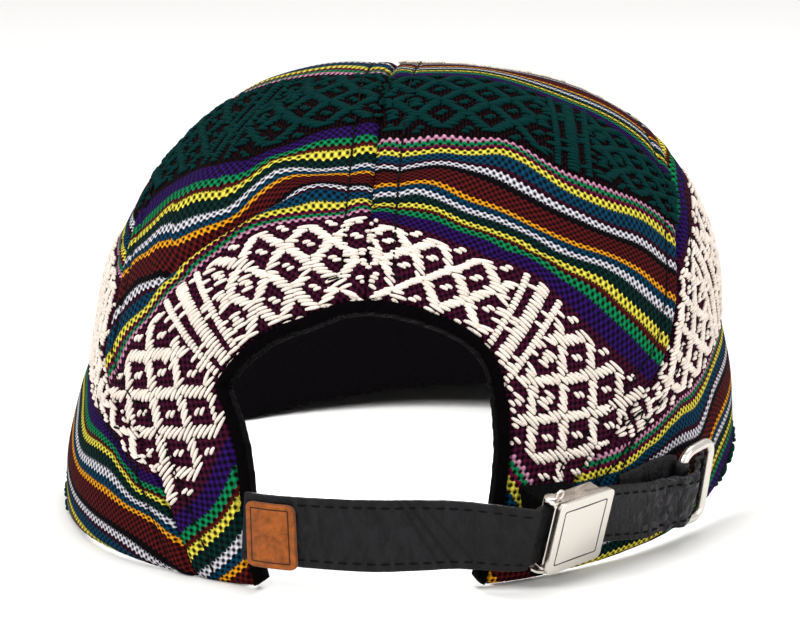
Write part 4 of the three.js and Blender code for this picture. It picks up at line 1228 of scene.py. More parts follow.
def black_leather(leather):
    """Black split leather with a semi-matt finish: fine grain and creases that catch the light, with
    painted shade in the deepest creases and painted highlights on the crumpled free end.
    """
    add, finish = new_material("black_finished_leather")
    spot = add("ShaderNodeTexCoord", output="Object")
    grain = add("ShaderNodeTexVoronoi", {"Vector": spot, "Scale": 1400.0}, output="Distance")
    drawn = add("ShaderNodeVectorMath", {0: spot, 1: (1.0, 1.0, 0.45)}, operation="MULTIPLY")
    soft = add("ShaderNodeTexNoise", {
        "Vector": drawn, "Scale": 430.0, "Detail": 4.0, "Distortion": 0.8})
    crease = add("ShaderNodeTexNoise", {
        "Vector": drawn, "Scale": 420.0, "Detail": 3.0, "Distortion": 0.6},
        noise_type="RIDGED_MULTIFRACTAL")
    tone = add("ShaderNodeMapRange", {
        "Value": soft, "From Min": 0.36, "From Max": 0.66, "To Min": 0.6, "To Max": 2.0})
    # Painted highlights: noise patches that make the crumpled free end many times lighter
    painted_highlight = add("ShaderNodeTexNoise", {
        "Vector": drawn, "Scale": 1000.0, "Detail": 4.0, "Distortion": 0.7})
    painted_highlight = add("ShaderNodeMapRange", {
        "Value": painted_highlight, "From Min": 0.5, "From Max": 0.68, "To Min": 0.0, "To Max": 9.0})
    worn = add("ShaderNodeAttribute", output="Fac", attribute_name="worn")
    tone = add("ShaderNodeMath", {0: painted_highlight, 1: worn, 2: tone}, operation="MULTIPLY_ADD")
    base = add("ShaderNodeVectorMath", {0: leather.strap, 3: tone}, operation="SCALE")
    # Painted shade: the base colour goes to black in the deepest creases of the strap
    creased = add("ShaderNodeAttribute", output="Fac", attribute_name="creased")
    base = add("ShaderNodeMix", {0: creased, 6: base, 7: (0, 0, 0, 1)}, output=2, data_type="RGBA")
    rough = add("ShaderNodeMapRange", {
        "Value": soft, "From Min": 0.35, "From Max": 0.65, "To Min": 0.38, "To Max": 0.6})
    folds = add("ShaderNodeMath", {0: soft, 1: 5.0, 2: crease}, operation="MULTIPLY_ADD")
    height = add("ShaderNodeMath", {0: grain, 1: 0.6, 2: folds}, operation="MULTIPLY_ADD")
    bump = add("ShaderNodeBump", {"Height": height, "Strength": 0.7, "Distance": 0.25 * MM})
    return finish({"Base Color": base, "Roughness": rough, "Specular IOR Level": 0.16, "Normal": bump})


def block_felt(leather):
    """Black wool felt of the block behind the clasp: no shine, and a loose nap."""
    add, finish = new_material("black_wool_felt")
    spot = add("ShaderNodeTexCoord", output="Object")
    nap = add("ShaderNodeTexNoise", {"Vector": spot, "Scale": 1100.0, "Detail": 4.0})
    tone = add("ShaderNodeMapRange", {
        "Value": nap, "From Min": 0.3, "From Max": 0.7, "To Min": 0.3, "To Max": 1.5})
    base = add("ShaderNodeVectorMath", {0: list(leather.thread), 3: tone}, operation="SCALE")
    bump = add("ShaderNodeBump", {"Height": nap, "Strength": 0.6, "Distance": 0.3 * MM})
    return finish({"Base Color": base, "Roughness": 0.95, "Specular IOR Level": 0.02, "Normal": bump})


def tan_leather(leather):
    """Tan nubuck: matte with a short mottled nap."""
    add, finish = new_material("tan_nubuck_leather")
    spot = add("ShaderNodeTexCoord", output="Object")
    mottle = add("ShaderNodeTexNoise", {
        "Vector": spot, "Scale": 420.0, "Detail": 5.0, "Roughness": 0.7})
    tone = add("ShaderNodeMapRange", {
        "Value": mottle, "From Min": 0.3, "From Max": 0.7, "To Min": 0.5, "To Max": 1.5})
    base = add("ShaderNodeVectorMath", {0: leather.tab, 3: tone}, operation="SCALE")
    burn = add("ShaderNodeAttribute", output="Fac", attribute_name="burn")
    base = add("ShaderNodeMix", {
        0: burn, 6: base, 7: (*linear("#3a1c0c"), 1)}, output=2, data_type="RGBA")
    nap = add("ShaderNodeTexNoise", {"Vector": spot, "Scale": 2400.0, "Detail": 3.0})
    height = add("ShaderNodeMath", {0: mottle, 1: 1.5, 2: nap}, operation="MULTIPLY_ADD")
    bump = add("ShaderNodeBump", {"Height": height, "Strength": 0.5, "Distance": 0.2 * MM})
    return finish({
        "Base Color": base, "Roughness": 0.8, "Specular IOR Level": 0.25, "Sheen Weight": 0.1,
        "Normal": bump})


def polished_nickel(metal):
    """Nickel plate, polished: a warm white metal with faint handling marks."""
    add, finish = new_material("polished_nickel_plate")
    spot = add("ShaderNodeTexCoord", output="Object")
    marks = add("ShaderNodeTexNoise", {"Vector": spot, "Scale": 90.0, "Detail": 4.0})
    rough = add("ShaderNodeMapRange", {
        "Value": marks, "From Min": 0.3, "From Max": 0.7, "To Min": 0.2, "To Max": 0.3})
    return finish({"Base Color": (*metal.nickel, 1), "Metallic": 1, "Roughness": rough})


def engraved_line(metal):
    """Engraved and blackened metal: a dull dark line in the plate."""
    add, finish = new_material("blackened_engraving")
    spot = add("ShaderNodeTexCoord", output="Object")
    grit = add("ShaderNodeTexNoise", {"Vector": spot, "Scale": 1800.0, "Detail": 3.0})
    rough = add("ShaderNodeMapRange", {"Value": grit, "To Min": 0.5, "To Max": 0.8})
    return finish({"Base Color": (*metal.engraving, 1), "Roughness": rough})


def sewing_thread(leather):
    """Bonded polyester sewing thread: a slight shine on its twist."""
    add, finish = new_material("bonded_sewing_thread")
    spot = add("ShaderNodeTexCoord", output="Object")
    twist = add("ShaderNodeTexNoise", {"Vector": spot, "Scale": 3000.0})
    bump = add("ShaderNodeBump", {"Height": twist, "Strength": 0.5, "Distance": 0.08 * MM})
    return finish({
        "Base Color": (*leather.thread, 1), "Roughness": 0.7, "Specular IOR Level": 0.06,
        "Normal": bump})


def made_once(maker, settings):
    """A material that several operators share."""
    key = maker.__name__
    found = [m for m in bpy.data.materials if m.get("maker") == key]
    if found:
        return found[0]
    material = maker(settings)
    material["maker"] = key
    return material


class CAP_OT_panels(bpy.types.Operator):
    """Sews the five cloth panels with their seams and folds"""

    bl_idname = "cap.panels"
    bl_label = "Cloth panels"

    def execute(self, context):
        cloth = context.scene.cap_cloth
        material = made_once(striped_cotton, cloth)
        for name, panel in PANELS.items():
            columns, rows = (int(size / CLOTH_GRID) for size in panel.size)
            a, b = share_grid(columns, rows)
            points, out = on_crown(panel.place(a, b))
            outer = points + out * relief(panel, a, b, points, cloth)[..., None]
            inner = points - out * (cloth.thickness / MM)
            piece = closed_sheet(f"cloth_{name}", outer, inner, panel.thread_at(a, b, folded=False))
            depth, above = panel.folded(panel.flat_at(np.stack([a, b], -1)))
            fold = np.stack([above, depth], -1).reshape(-1, 2)
            add_coordinates(piece.data, "fold", np.vstack([fold, fold]))
            set_finish(piece, material, replaced=[name])
        return {"FINISHED"}


def yarn_template():
    """A short thick yarn along X, one unit long, wide and high, with its plies' coordinates."""
    around, rings = 6, 4
    points, coordinates = [(-0.5, 0, -0.1)], [(0, 0)]
    for k in range(rings):
        x = -0.42 + 0.84 * k / (rings - 1)
        swell = 0.72 if k in (0, rings - 1) else 1.0
        rise = 0.15 if k in (0, rings - 1) else 0.32
        for i in range(around):
            angle = 2 * math.pi * i / around
            points.append((x, 0.5 * swell * math.cos(angle), rise + 0.5 * swell * math.sin(angle)))
            coordinates.append((x + 0.5, i / around))
    points.append((0.5, 0, -0.1))
    coordinates.append((1, 0))
    faces = []
    for i in range(around):
        j = (i + 1) % around
        faces.append((0, 1 + j, 1 + i))
        for k in range(rings - 1):
            low, high = 1 + k * around, 1 + (k + 1) * around
            faces.append((low + i, low + j, high + j, high + i))
        last = 1 + (rings - 1) * around
        faces.append((last + i, last + j, len(points) - 1))
    return np.array(points), faces, np.array(coordinates)


def lay_yarns(name, centres, along, out, lengths, width, height, tones=1.0):
    """One mesh of many short yarns that lie on the cloth."""
    points, faces, coordinates = yarn_template()
    lengths, tones = (np.broadcast_to(value, len(centres)) for value in (lengths, tones))
    side = np.cross(out, along)
    placed = (centres[:, None]
              + along[:, None] * points[None, :, :1] * lengths[:, None, None]
              + side[:, None] * points[None, :, 1:2] * width
              + out[:, None] * points[None, :, 2:] * height)
    count = len(points)
    starts = range(0, count * len(centres), count)
    all_faces = [[start + k for k in face] for start in starts for face in faces]
    plies = np.tile(coordinates, (len(centres), 1))
    plies[:, 0] *= np.repeat(lengths, count)
    piece = new_piece(name, placed.reshape(-1, 3), all_faces, plies)
    add_values(piece.data, "tone", np.repeat(tones, count))
    return piece


# The brocade's figures: square cells with a dot in each, then three bars square to the stripes.
# A cell is so many rows and millimetres from its middle to its corners.
CELL_ROWS = 6.3
CELL_LONG = 6.0
FIGURED_ROWS = 35
LATTICE_LONG = 20.5
FIGURE = 56.0
ROPE = 4.5
DOT = 2.3
# How far a slanting yarn leans across its row
SLANT = 0.24
BARS = ((-4.8, 2.1), (0, 3.9), (4.8, 2.1))


def brocade_row(row):
    """Middle, length and slant of the yarns in one row of a figured ground, over one figure."""
    runs = [(place, size, 0.0) for place, size in BARS if abs(row) < 17]
    above = row / CELL_ROWS - 0.5
    knots = []
    if abs(row) <= 15:
        for k in range(-7, 8, 2):
            knots += [(CELL_LONG * (k - above), -1), (CELL_LONG * (k + above), 1)]
    knots.sort()
    while knots:
        middle, slant = knots.pop(0)
        size = ROPE
        if knots and knots[0][0] - middle < 0.8 * ROPE:
            gap = knots.pop(0)[0] - middle
            middle, size, slant = middle + gap / 2, ROPE + gap, 0
            if size > 1.35 * ROPE:
                runs.append((FIGURE / 2 + middle - size / 4, size / 2 + 0.3, 0.6))
                middle, size = middle + size / 4, size / 2 + 0.3
        if abs(middle) <= LATTICE_LONG:
            runs.append((FIGURE / 2 + middle, size, slant))
    for u in range(-8, 9, 2):
        for v in range(-8, 9, 2):
            away = row - CELL_ROWS * (0.5 + (u - v) / 2)
            middle = CELL_LONG * (u + v) / 2
            if abs(away) < 1 and abs(middle) < LATTICE_LONG:
                runs.append((FIGURE / 2 + middle + 0.5 * np.sign(away), DOT, 0))
    return runs


class CAP_OT_brocade(bpy.types.Operator):
    """Lays the raised brocade yarns over the two figured grounds"""

    bl_idname = "cap.brocade"
    bl_label = "Brocade"

    def execute(self, context):
        cloth = context.scene.cap_cloth
        cream = brocade_yarn("cream_brocade_yarn", list(cloth.cream))
        green = brocade_yarn("green_brocade_yarn", list(cloth.green))
        for name, panel in PANELS.items():
            for word, base, material in (("cream", STRIPED, cream), ("green", BLACK_END, green)):
                self.cover(name, panel, word, base, material, cloth)
        return {"FINISHED"}

    def chart(self, panel, word, base):
        """Middles, lengths and slants of the yarns that a panel's ground may hold."""
        spread = panel.thread_at(*share_grid(39, 59)).reshape(-1, 2)
        low, high = spread.min(0) - 2, spread.max(0) + 2
        anchor = panel.bars.get(word, 0.0)
        yarns = []
        for repeat in range(-3, 4):
            for row in range(FIGURED_ROWS):
                across = base + repeat * REPEAT + (row + 0.5) * GROUND / FIGURED_ROWS
                if not low[1] < across < high[1]:
                    continue
                first = math.floor((low[0] - anchor) / FIGURE) - 1
                last = math.ceil((high[0] - anchor) / FIGURE) + 1
                for k in range(first, last + 1):
                    for middle, size, slant in brocade_row(row - FIGURED_ROWS // 2):
                        yarns.append((anchor + k * FIGURE + middle, across, size, slant))
        yarns = np.array(yarns).reshape(-1, 4)
        return yarns[(yarns[:, 0] > low[0]) & (yarns[:, 0] < high[0])]

    def cover(self, name, panel, word, base, material, cloth):
        """Lays the yarns of one ground over one panel, and cuts those that meet a seam."""
        yarns = self.chart(panel, word, base)
        if not len(yarns):
            return
        random = np.random.default_rng(7)
        middle, size = yarns[:, :2], yarns[:, 2]
        half = np.stack([size / 2 - 0.2, 0 * size], -1)
        start_in, end_in = panel.find(middle - half)[1], panel.find(middle + half)[1]
        cut = np.where(start_in & end_in, 0, np.where(start_in, -1, 1))
        middle = middle + np.stack([cut * size / 4, 0 * size], -1)
        size = np.where(cut == 0, size, size / 2)
        p, found = panel.find(middle)
        keep = found & (start_in | end_in)
        if not keep.any():
            return
        p, size, slant, middle = p[keep], size[keep], yarns[keep, 3], middle[keep]
        points, out = on_crown(panel.place(*p.T))
        along, across = (in_surface(panel.spot_at(panel.find(middle + step)[0]) - points, out)
                         for step in ([0.5, 0], [0, 0.5]))
        good = (np.linalg.norm(along, axis=1) > 0.15) & (np.linalg.norm(across, axis=1) > 0.1)
        points, out, along, across, size, slant, p = (
            v[good] for v in (points, out, along, across, size, slant, p))
        lean = slant * SLANT + random.normal(0, 0.05, len(size))
        along = unit(unit(along) + unit(across) * lean[:, None])
        size = size * random.uniform(0.92, 1.08, len(size))
        lift = relief(panel, *p.T, points, cloth) + random.uniform(-0.05, 0.08, len(size))
        tones = random.uniform(0.86, 1.04, len(points))
        piece = lay_yarns(f"{word}_brocade_{name}", points + out * lift[:, None], along, out,
                          size, cloth.float_width / MM, cloth.float_height / MM * 2, tones)
        set_finish(piece, material)


def at_stops(values, travelled, stops):
    """Values of a line at some distances along it."""
    return np.stack([np.interp(stops, travelled, column) for column in values.T], -1)


# How far the topstitching stands off the cloth, on the brocade and beside it
STITCH_LIFTS = (0.74, 0.12)


class CAP_OT_seams(bpy.types.Operator):
    """Sews the rows of black topstitching beside the seams"""

    bl_idname = "cap.seams"
    bl_label = "Topstitching"

    def execute(self, context):
        cloth = context.scene.cap_cloth
        thread = made_once(sewing_thread, context.scene.cap_leather)
        pitch = cloth.stitch / MM
        rows = []
        for panel in PANELS.values():
            for edge, start in panel.stitched.items():
                if start is None:
                    continue
                a, b = offset_line(panel, edge, cloth.stitch_line / MM, start)
                line, out = on_crown(panel.place(a, b))
                line = line + out * relief(panel, a, b, line, cloth)[:, None]
                travelled = travel(line)
                across = panel.thread_at(a, b)[:, 1] % GROUP
                figured = (across > STRIPED + 0.4) & (across < GROUP - 0.4)
                line = line + out * np.where(figured, *STITCH_LIFTS)[:, None]
                stops = np.arange(pitch, travelled[-1] - pitch / 2, pitch)
                spots = at_stops(line, travelled, stops)
                face = unit(at_stops(out, travelled, stops))
                ahead = at_stops(line, travelled, stops + 0.5) - spots
                rows.append((spots, unit(in_surface(ahead, face)), face))
        places, ahead, faces = (np.vstack(part) for part in zip(*rows))
        stitches = lay_yarns("seam_topstitching", places, ahead, faces, pitch, 0.6, 0.4)
        set_finish(stitches, thread)
        return {"FINISHED"}


# The lining: its faces round and up, how high its lower edge lies, how far it stays above the
# opening, and the length of cloth in each degree of turn
LINING_GRID = (240, 60)
LINING_FOOT = 31.0
ABOVE_OPENING = 0.022
TURN_LENGTH = 1.6
# The sweatband: its faces, its upper edge, its gap to the panels, its width, its thickness, how far
# it stays beside the opening and how far above the rim
BAND_GRID = (420, 26)
BAND_TOP = 33
BAND_GAP = 0.7
BAND_WIDE = 30
BAND_THICK = 1.6
BAND_BESIDE_OPENING = 1.6
RIM_GAP = 0.3
# The binding's outline: how far over the cloth from the opening's edge, and how far off the crown.
# Below it, the cloth's length along and round the binding, and how many loose fibres it has.
BINDING = ((3.0, -0.6), (2.95, 0.15), (2.5, 0.36), (1.6, 0.42), (0.6, 0.4), (0.0, 0.15),
           (-0.3, -0.6), (-0.35, -1.8), (-0.2, -2.8), (0.3, -3.4), (1.4, -3.6), (2.5, -3.6),
           (2.9, -3.3), (2.9, -2.2))
BINDING_LONG = 190
BINDING_ROUND = 12
FIBRES = 700


class CAP_OT_inside(bpy.types.Operator):
    """Makes the lining, the sweatband and the binding of the opening"""

    bl_idname = "cap.inside"
    bl_label = "Lining, sweatband and binding"

    def execute(self, context):
        cloth = context.scene.cap_cloth
        cover = made_once(black_twill, cloth)
        thick = cloth.thickness / MM
        self.line(thick, cover)
        self.band(thick, cover)
        self.bind(cover)
        return {"FINISHED"}

    def line(self, thick, cover):
        """The lining of the upper crown."""
        a, b = share_grid(*LINING_GRID)
        # More of its faces lie at the back, round the opening
        turn = 360 * a - 14 * np.sin(2 * np.pi * a)
        signed = np.where(turn > 180, turn - 360, turn)
        arch = arch_up(signed)
        foot = np.maximum(up_at_height(turn, LINING_FOOT), np.where(arch > 0, arch + ABOVE_OPENING, 0))
        points, out = on_crown(disc_at(turn, foot + (1 - foot) * b))
        ease = np.clip((points[..., 2] - 30) / 9, 0, 1)[..., None]
        wave = 0.35 * np.sin(turn / 7)[..., None] * ease
        outer = points - out * (thick + 0.25 + 0.65 * ease - wave * 0.3)
        inner = points - out * (thick + 0.75 + 1.15 * ease + np.abs(wave))
        place = np.stack([turn * TURN_LENGTH, b * 120], -1)
        piece = closed_sheet("crown_lining", outer, inner, place, closed=True)
        set_finish(piece, cover, replaced=["lining"])

    def band(self, thick, cover):
        """The sweatband, a folded strip with a soft upper edge."""
        a, b = share_grid(*BAND_GRID)
        foot = around_crown(RIM, 20.0) + RIM_GAP
        level = up_at_height(20.0, foot + (BAND_TOP - foot) * b)
        start = arch_turn(1, level) + BAND_BESIDE_OPENING
        end = 360 - arch_turn(-1, level) - BAND_BESIDE_OPENING
        turn = start + (end - start) * a
        low = around_crown(RIM, turn) + RIM_GAP
        z = low + (BAND_TOP - low) * b
        points, out = on_crown(disc_at(turn, up_at_height(turn, z)))
        edge = np.minimum(b * BAND_WIDE, (1 - b) * BAND_WIDE)[..., None]
        round_in = 0.7 * np.exp(-edge / 0.7)
        ripple = (0.18 * np.sin(turn * 1.9 + 3 * b) * np.sin(turn * 0.37))[..., None]
        groove = 0.3 * swell((1 - b) * BAND_WIDE, 5, 0.6)[..., None]
        outer = points - out * (thick + BAND_GAP + round_in)
        inner = points - out * (thick + BAND_GAP + BAND_THICK - round_in - groove + ripple)
        piece = closed_sheet("sweat_band", outer, inner, np.stack([turn * TURN_LENGTH, z], -1))
        set_finish(piece, cover, replaced=["sweatband"])

    def bind(self, cover):
        """The binding folded over the opening's edge."""
        t = np.linspace(0, 1, 261)
        edge = opening_edge(t)
        ahead = unit(opening_edge(np.minimum(t + 0.004, 1)) - opening_edge(np.maximum(t - 0.004, 0)))
        inward = np.stack([-ahead[:, 1], ahead[:, 0]], -1)
        scale = np.linalg.norm(crown_at(edge + inward * 0.02) - crown_at(edge), axis=1) / 0.02
        rings = []
        for k, (away, lift) in enumerate(BINDING):
            wobble = 0.1 * np.sin(t * 191 + k) + 0.08 * np.sin(t * 373 + 2 * k)
            place = edge + inward * ((away + 0.3 + wobble) / scale)[:, None]
            far = np.linalg.norm(place, axis=1, keepdims=True)
            place = np.where(far > 1, place / far, place)
            rings.append(crown_at(place) + crown_normal(place) * (lift + 0.6 * wobble)[:, None])
        grid = np.stack(rings, 1)
        coordinates = np.stack(np.broadcast_arrays(
            t[:, None] * BINDING_LONG, np.linspace(0, BINDING_ROUND, len(BINDING))), -1)
        piece = swept("edge_binding", grid, coordinates.reshape(-1, 2))
        set_finish(piece, cover, replaced=["opening_binding"])
        self.fray(grid, cover)

    def fray(self, grid, cover):
        """Loose fibres that stand off the binding."""
        random = np.random.default_rng(3)
        k = random.integers(4, len(grid) - 4, FIBRES)
        m = random.integers(1, 8, FIBRES)
        spots = grid[k, m] + random.normal(0, 0.15, (FIBRES, 3))
        out = unit(spots - grid[k].mean(1))
        along = unit(out * 0.7 + random.normal(0, 0.6, (FIBRES, 3)))
        face = unit(np.cross(along, random.normal(0, 1, (FIBRES, 3))))
        size = random.uniform(0.7, 1.9, FIBRES)
        fibres = lay_yarns("binding_fibres", spots + along * size[:, None] * 0.3, along, face, size,
                           0.11, 0.11)
        set_finish(fibres, cover)


def opening_edge(t):
    """Disc coordinates round the back opening, from its right foot over its top to its left foot."""
    right, left = arch_edge(1, 2 * t), arch_edge(-1, 2 - 2 * t)
    return np.where((t < 0.5)[:, None], right, left)


def arch_turn(side, up):
    """Turn of the opening's edge from the back, at a way up."""
    return np.interp(up, ARCH_ROWS[:, 0], ARCH_ROWS[:, 1 if side > 0 else 2])


def arch_up(turn):
    """Way up of the opening's edge in a direction, or 0 beside it."""
    found = np.zeros_like(turn)
    for column, side in ((1, 1), (2, -1)):
        upper = ARCH_ROWS[5 - (column == 1):][::-1]
        value = np.interp(side * turn, upper[:, column], upper[:, 0])
        here = (side * turn >= 0) & (side * turn < upper[-1, column])
        found = np.where(here, value, found)
    return found


# The peak: its faces, the turn at which it starts, half its width, how far its tips and its front
# reach, how square its outline is, its thickness, how steeply it drops and how deep its root sits
PEAK_GRID = (200, 70)
PEAK_TURN = 122
PEAK_HALF = 80
PEAK_TIPS = 52
PEAK_REACH = 103
PEAK_SQUARE = 0.8
PEAK_THICK = 2.6
PEAK_DROP = 0.17
PEAK_TUCK = 0.4
# Rows of stitching on the peak, how far the first is from its edge, and from row to row
PEAK_ROWS = 7
PEAK_FIRST = 4
PEAK_PITCH = 7


class CAP_OT_peak(bpy.types.Operator):
    """Makes the peak with its rows of stitching"""

    bl_idname = "cap.peak"
    bl_label = "Peak"

    def execute(self, context):
        cloth = context.scene.cap_cloth
        cover = made_once(peak_twill, cloth)
        a, b = share_grid(*PEAK_GRID)
        turn = PEAK_TURN + (360 - 2 * PEAK_TURN) * a
        spot, out = on_crown(disc_at(turn, np.zeros_like(turn)))
        root = spot - out * PEAK_TUCK
        along, ahead = (np.sign(wave) * np.abs(wave) ** PEAK_SQUARE
                        for wave in (np.cos(a * np.pi), np.sin(a * np.pi)))
        tip_x = CROWN_CENTRE[0] + PEAK_HALF * along
        tip_y = CROWN_CENTRE[1] + PEAK_TIPS + PEAK_REACH * ahead
        far = np.hypot(tip_x - root[..., 0], tip_y - root[..., 1])
        under = np.maximum(root[..., 2] + PEAK_TUCK - far * b * PEAK_DROP, 0)
        x = root[..., 0] + (tip_x - root[..., 0]) * b
        y = root[..., 1] + (tip_y - root[..., 1]) * b
        edge = far * (1 - b)
        roll = 1.25 * np.exp(-((edge / 1.1) ** 1.5))
        groove = sum(0.28 * swell(edge - PEAK_FIRST, PEAK_PITCH * k, 0.5) for k in range(PEAK_ROWS))
        low = np.stack([x, y, under + roll + groove * 0.6], -1)
        high = np.stack([x, y, under + PEAK_THICK - roll - groove], -1)
        piece = closed_sheet("stitched_peak", high, low, np.stack([x, y], -1))
        outwards(piece)
        set_finish(piece, cover, replaced=["peak"])
        return {"FINISHED"}


# Strap stations on the crown: turn from the back, height of its middle, width, how far its inner
# face stands off the crown, and how far its upper edge leans out
STRAP_LEFT = [
    (-16, 15.8, 16.2, 0.9, 0),
    (-12, 15.7, 16.6, 0.9, 0),
    (-6, 15.6, 17, -0.9, 0),
    (2, 15.2, 17.4, -2.1, 0),
    (9, 14.8, 17.2, -1.2, 3),
    (14, 14.4, 16.8, 0.8, 6),
]
# Stations in the clasp: along the strap, width, and how far up across it
STRAP_IN_CLASP = [(-14, 17, -0.6), (-10.4, 15.8, -0.3), (9.6, 15.6, -0.3), (13.6, 15.6, -0.8)]
STRAP_RIGHT = [
    (47, 13.5, 15.2, 3, 14),
    (51, 13.7, 14.6, 3.6, 14),
    (54.5, 14, 14.1, 5.3, 14),
    (57.5, 14.3, 13.7, 5.6, 14),
    (62, 14.7, 13.1, 2.1, 13),
    (65.5, 14.9, 12.9, 1.4, 9),
    (67.6, 15, 12.7, 1.1, 7),
]
STRAP_THICK = 1.8
# No stitches lie under the clasp, where the open lever's foot would meet them
UNSTITCHED = (-12.6, 9)

# The keeper's strip on the crown, in the same way. Where it shows above the strap, its black stands
# partly for the keeper leather and partly for painted shade on the cloth.
KEEPER = [
    (43, 14.6, 15, 0.35, 0),
    (47, 15.2, 15.6, 0.4, 0),
    (51, 15.8, 16.2, 0.7, 2),
    (54.5, 16.2, 16.4, 1.5, 6),
    (55.6, 16.3, 15.4, 2.0, 8),
]
KEEPER_THICK = 1.0

# The tan tab over the strap's left end: its turns, its height and width, how far it slants, its
# thickness and how far from the crown's middle it lies
TAB_TURNS = (-14.9, -8)
TAB_HEIGHTS = (14.5, 14.4)
TAB_WIDTH = 15.7
TAB_SLANT = 4.6
TAB_THICK = 1.4
TAB_REACH = 98.5
LAYER_GAP = 0.3

# The wire ring at the strap's free end
RING_TURN = 60.4
RING_HEIGHT = 16
RING_LEAN = 11
RING_HALF_WIDE = 5.9
RING_HALF_TALL = 10.4
RING_CORNER = 3.6
RING_WIRE = 1.28
RING_OFF = (3.3, 4.9)

# The lever's plate and pin in the clasp's own directions
PLATE_MIDDLE = 0.7
PLATE_HALF = 9.8
PLATE_TOP = 4.5
PIN_ALONG = -8
PIN_OUT = 2.05
CLASP_CENTRE = np.array([49, -86, 14.85])
CLASP_TURN = 50.6
CLASP_LEAN = 17
CLASP_CLIMB = 2.7


def turned(vector, axis, degrees):
    """A direction turned about an axis."""
    angle = math.radians(degrees)
    return (vector * math.cos(angle) + np.cross(axis, vector) * math.sin(angle)
            + axis * np.dot(axis, vector) * (1 - math.cos(angle)))


def crown_station(turn, height, width, off, lean, thick=STRAP_THICK):
    """Middle, side, outward direction and width of a strap station on the crown."""
    spot = disc_at(np.float64(turn), up_at_height(np.float64(turn), height))
    around = level_right(turn)
    out = turned(crown_normal(spot), around, lean)
    return crown_at(spot) + out * (off + thick / 2), unit(np.cross(out, around)), out, width


def clasp_axes():
    """The clasp's middle and its directions along the strap, up across it and out."""
    along = level_right(CLASP_TURN)
    out = turned(np.array([along[1], -along[0], 0]), along, CLASP_LEAN)
    side = turned(np.array([0, 0, 1.0]), along, CLASP_LEAN)
    return (CROWN_CENTRE + CLASP_CENTRE, turned(along, out, CLASP_CLIMB),
            turned(side, out, CLASP_CLIMB), out)


def ring_axes():
    """The ring's middle and its directions along the strap, up across it and out."""
    origin, side, out, _ = crown_station(RING_TURN, RING_HEIGHT, 0, -STRAP_THICK / 2, RING_LEAN)
    along = np.cross(side, out)
    ahead = along + out * (RING_OFF[1] - RING_OFF[0]) / (2 * RING_HALF_WIDE)
    return (origin + out * (RING_OFF[0] + RING_OFF[1]) / 2, ahead, side,
            unit(np.cross(ahead, side)))


def smooth_frames(stations, steps):
    """Frames that run smoothly through a row of stations."""
    frames = []
    last = len(stations) - 1
    for k in range(last):
        four = [stations[min(max(i, 0), last)] for i in (k - 1, k, k + 1, k + 2)]
        frames += [between(four, i / steps) for i in range(steps)]
    return [*frames, stations[last]]


def strap_frames(steps):
    """Smooth strap frames from its left end to its free end."""
    centre, along, side, out = clasp_axes()
    stations = [crown_station(*row) for row in STRAP_LEFT]
    stations += [(centre + along * a + side * s, side, out, w) for a, w, s in STRAP_IN_CLASP]
    stations += [crown_station(*row) for row in STRAP_RIGHT]
    return smooth_frames(stations, steps)


def between(four, t):
    """A smooth frame between the middle two of four."""
    middle, side, out = (hermite(t, [-1, 0, 1, 2], [station[k] for station in four])
                         for k in range(3))
    side = unit(side)
    return middle, side, unit(in_surface(out, side)), four[1][3] * (1 - t) + four[2][3] * t


def strip_section(width, thick, edge):
    """Outline of a leather strip with rounded edges, across and out."""
    outline = []
    across, up = width / 2 - edge, thick / 2 - edge
    for x, y, start in ((1, 1, 0), (-1, 1, 90), (-1, -1, 180), (1, -1, 270)):
        for k in range(5):
            angle = math.radians(start + 90 * k / 4)
            outline.append((x * across + edge * math.cos(angle), y * up + edge * math.sin(angle)))
        if x == y:
            outline += [(x * across * share, x * thick / 2) for share in np.linspace(0.9, -0.9, 19)]
    return outline


# Creases of the strap: half the width of each, the depth of the deepest, and for each where along
# the strap it is, how far it slants and its depth
CREASE_HALF = 0.55
DEEPEST_CREASE = 0.26
CREASES = ((43.4, -0.62, 0.2), (46.2, -0.72, DEEPEST_CREASE), (50.6, -0.9, 0.16),
           (28, -0.5, 0.08), (81, 0.3, 0.14))
# How long the crumpled free end of the strap is, and over what length that starts
CRUMPLED = 42
CRUMPLE_STARTS = 12


def strap_crease(distance, across):
    """Depth of the creases at a place on the strap."""
    return sum(depth * swell(distance - place, across * slope, CREASE_HALF)
               for place, slope, depth in CREASES)


def strap_relief(distance, across, total):
    """How far the strap's face waves: soft creases, and a crumpled free end."""
    tail = np.clip((distance - (total - CRUMPLED)) / CRUMPLE_STARTS, 0, 1)
    wave = 0.34 * np.sin(distance / 1.35 + across * 0.35) * np.sin(distance / 3.1 - across * 0.2)
    wave += 0.26 * np.sin(distance / 0.8 - across * 0.55 + 2) * np.sin(across * 0.7 + distance / 5)
    ripple = swell(distance, 60, 13) * 0.08 * np.sin(distance / 1.7 + across * 0.6)
    return tail * wave + ripple - strap_crease(distance, across)


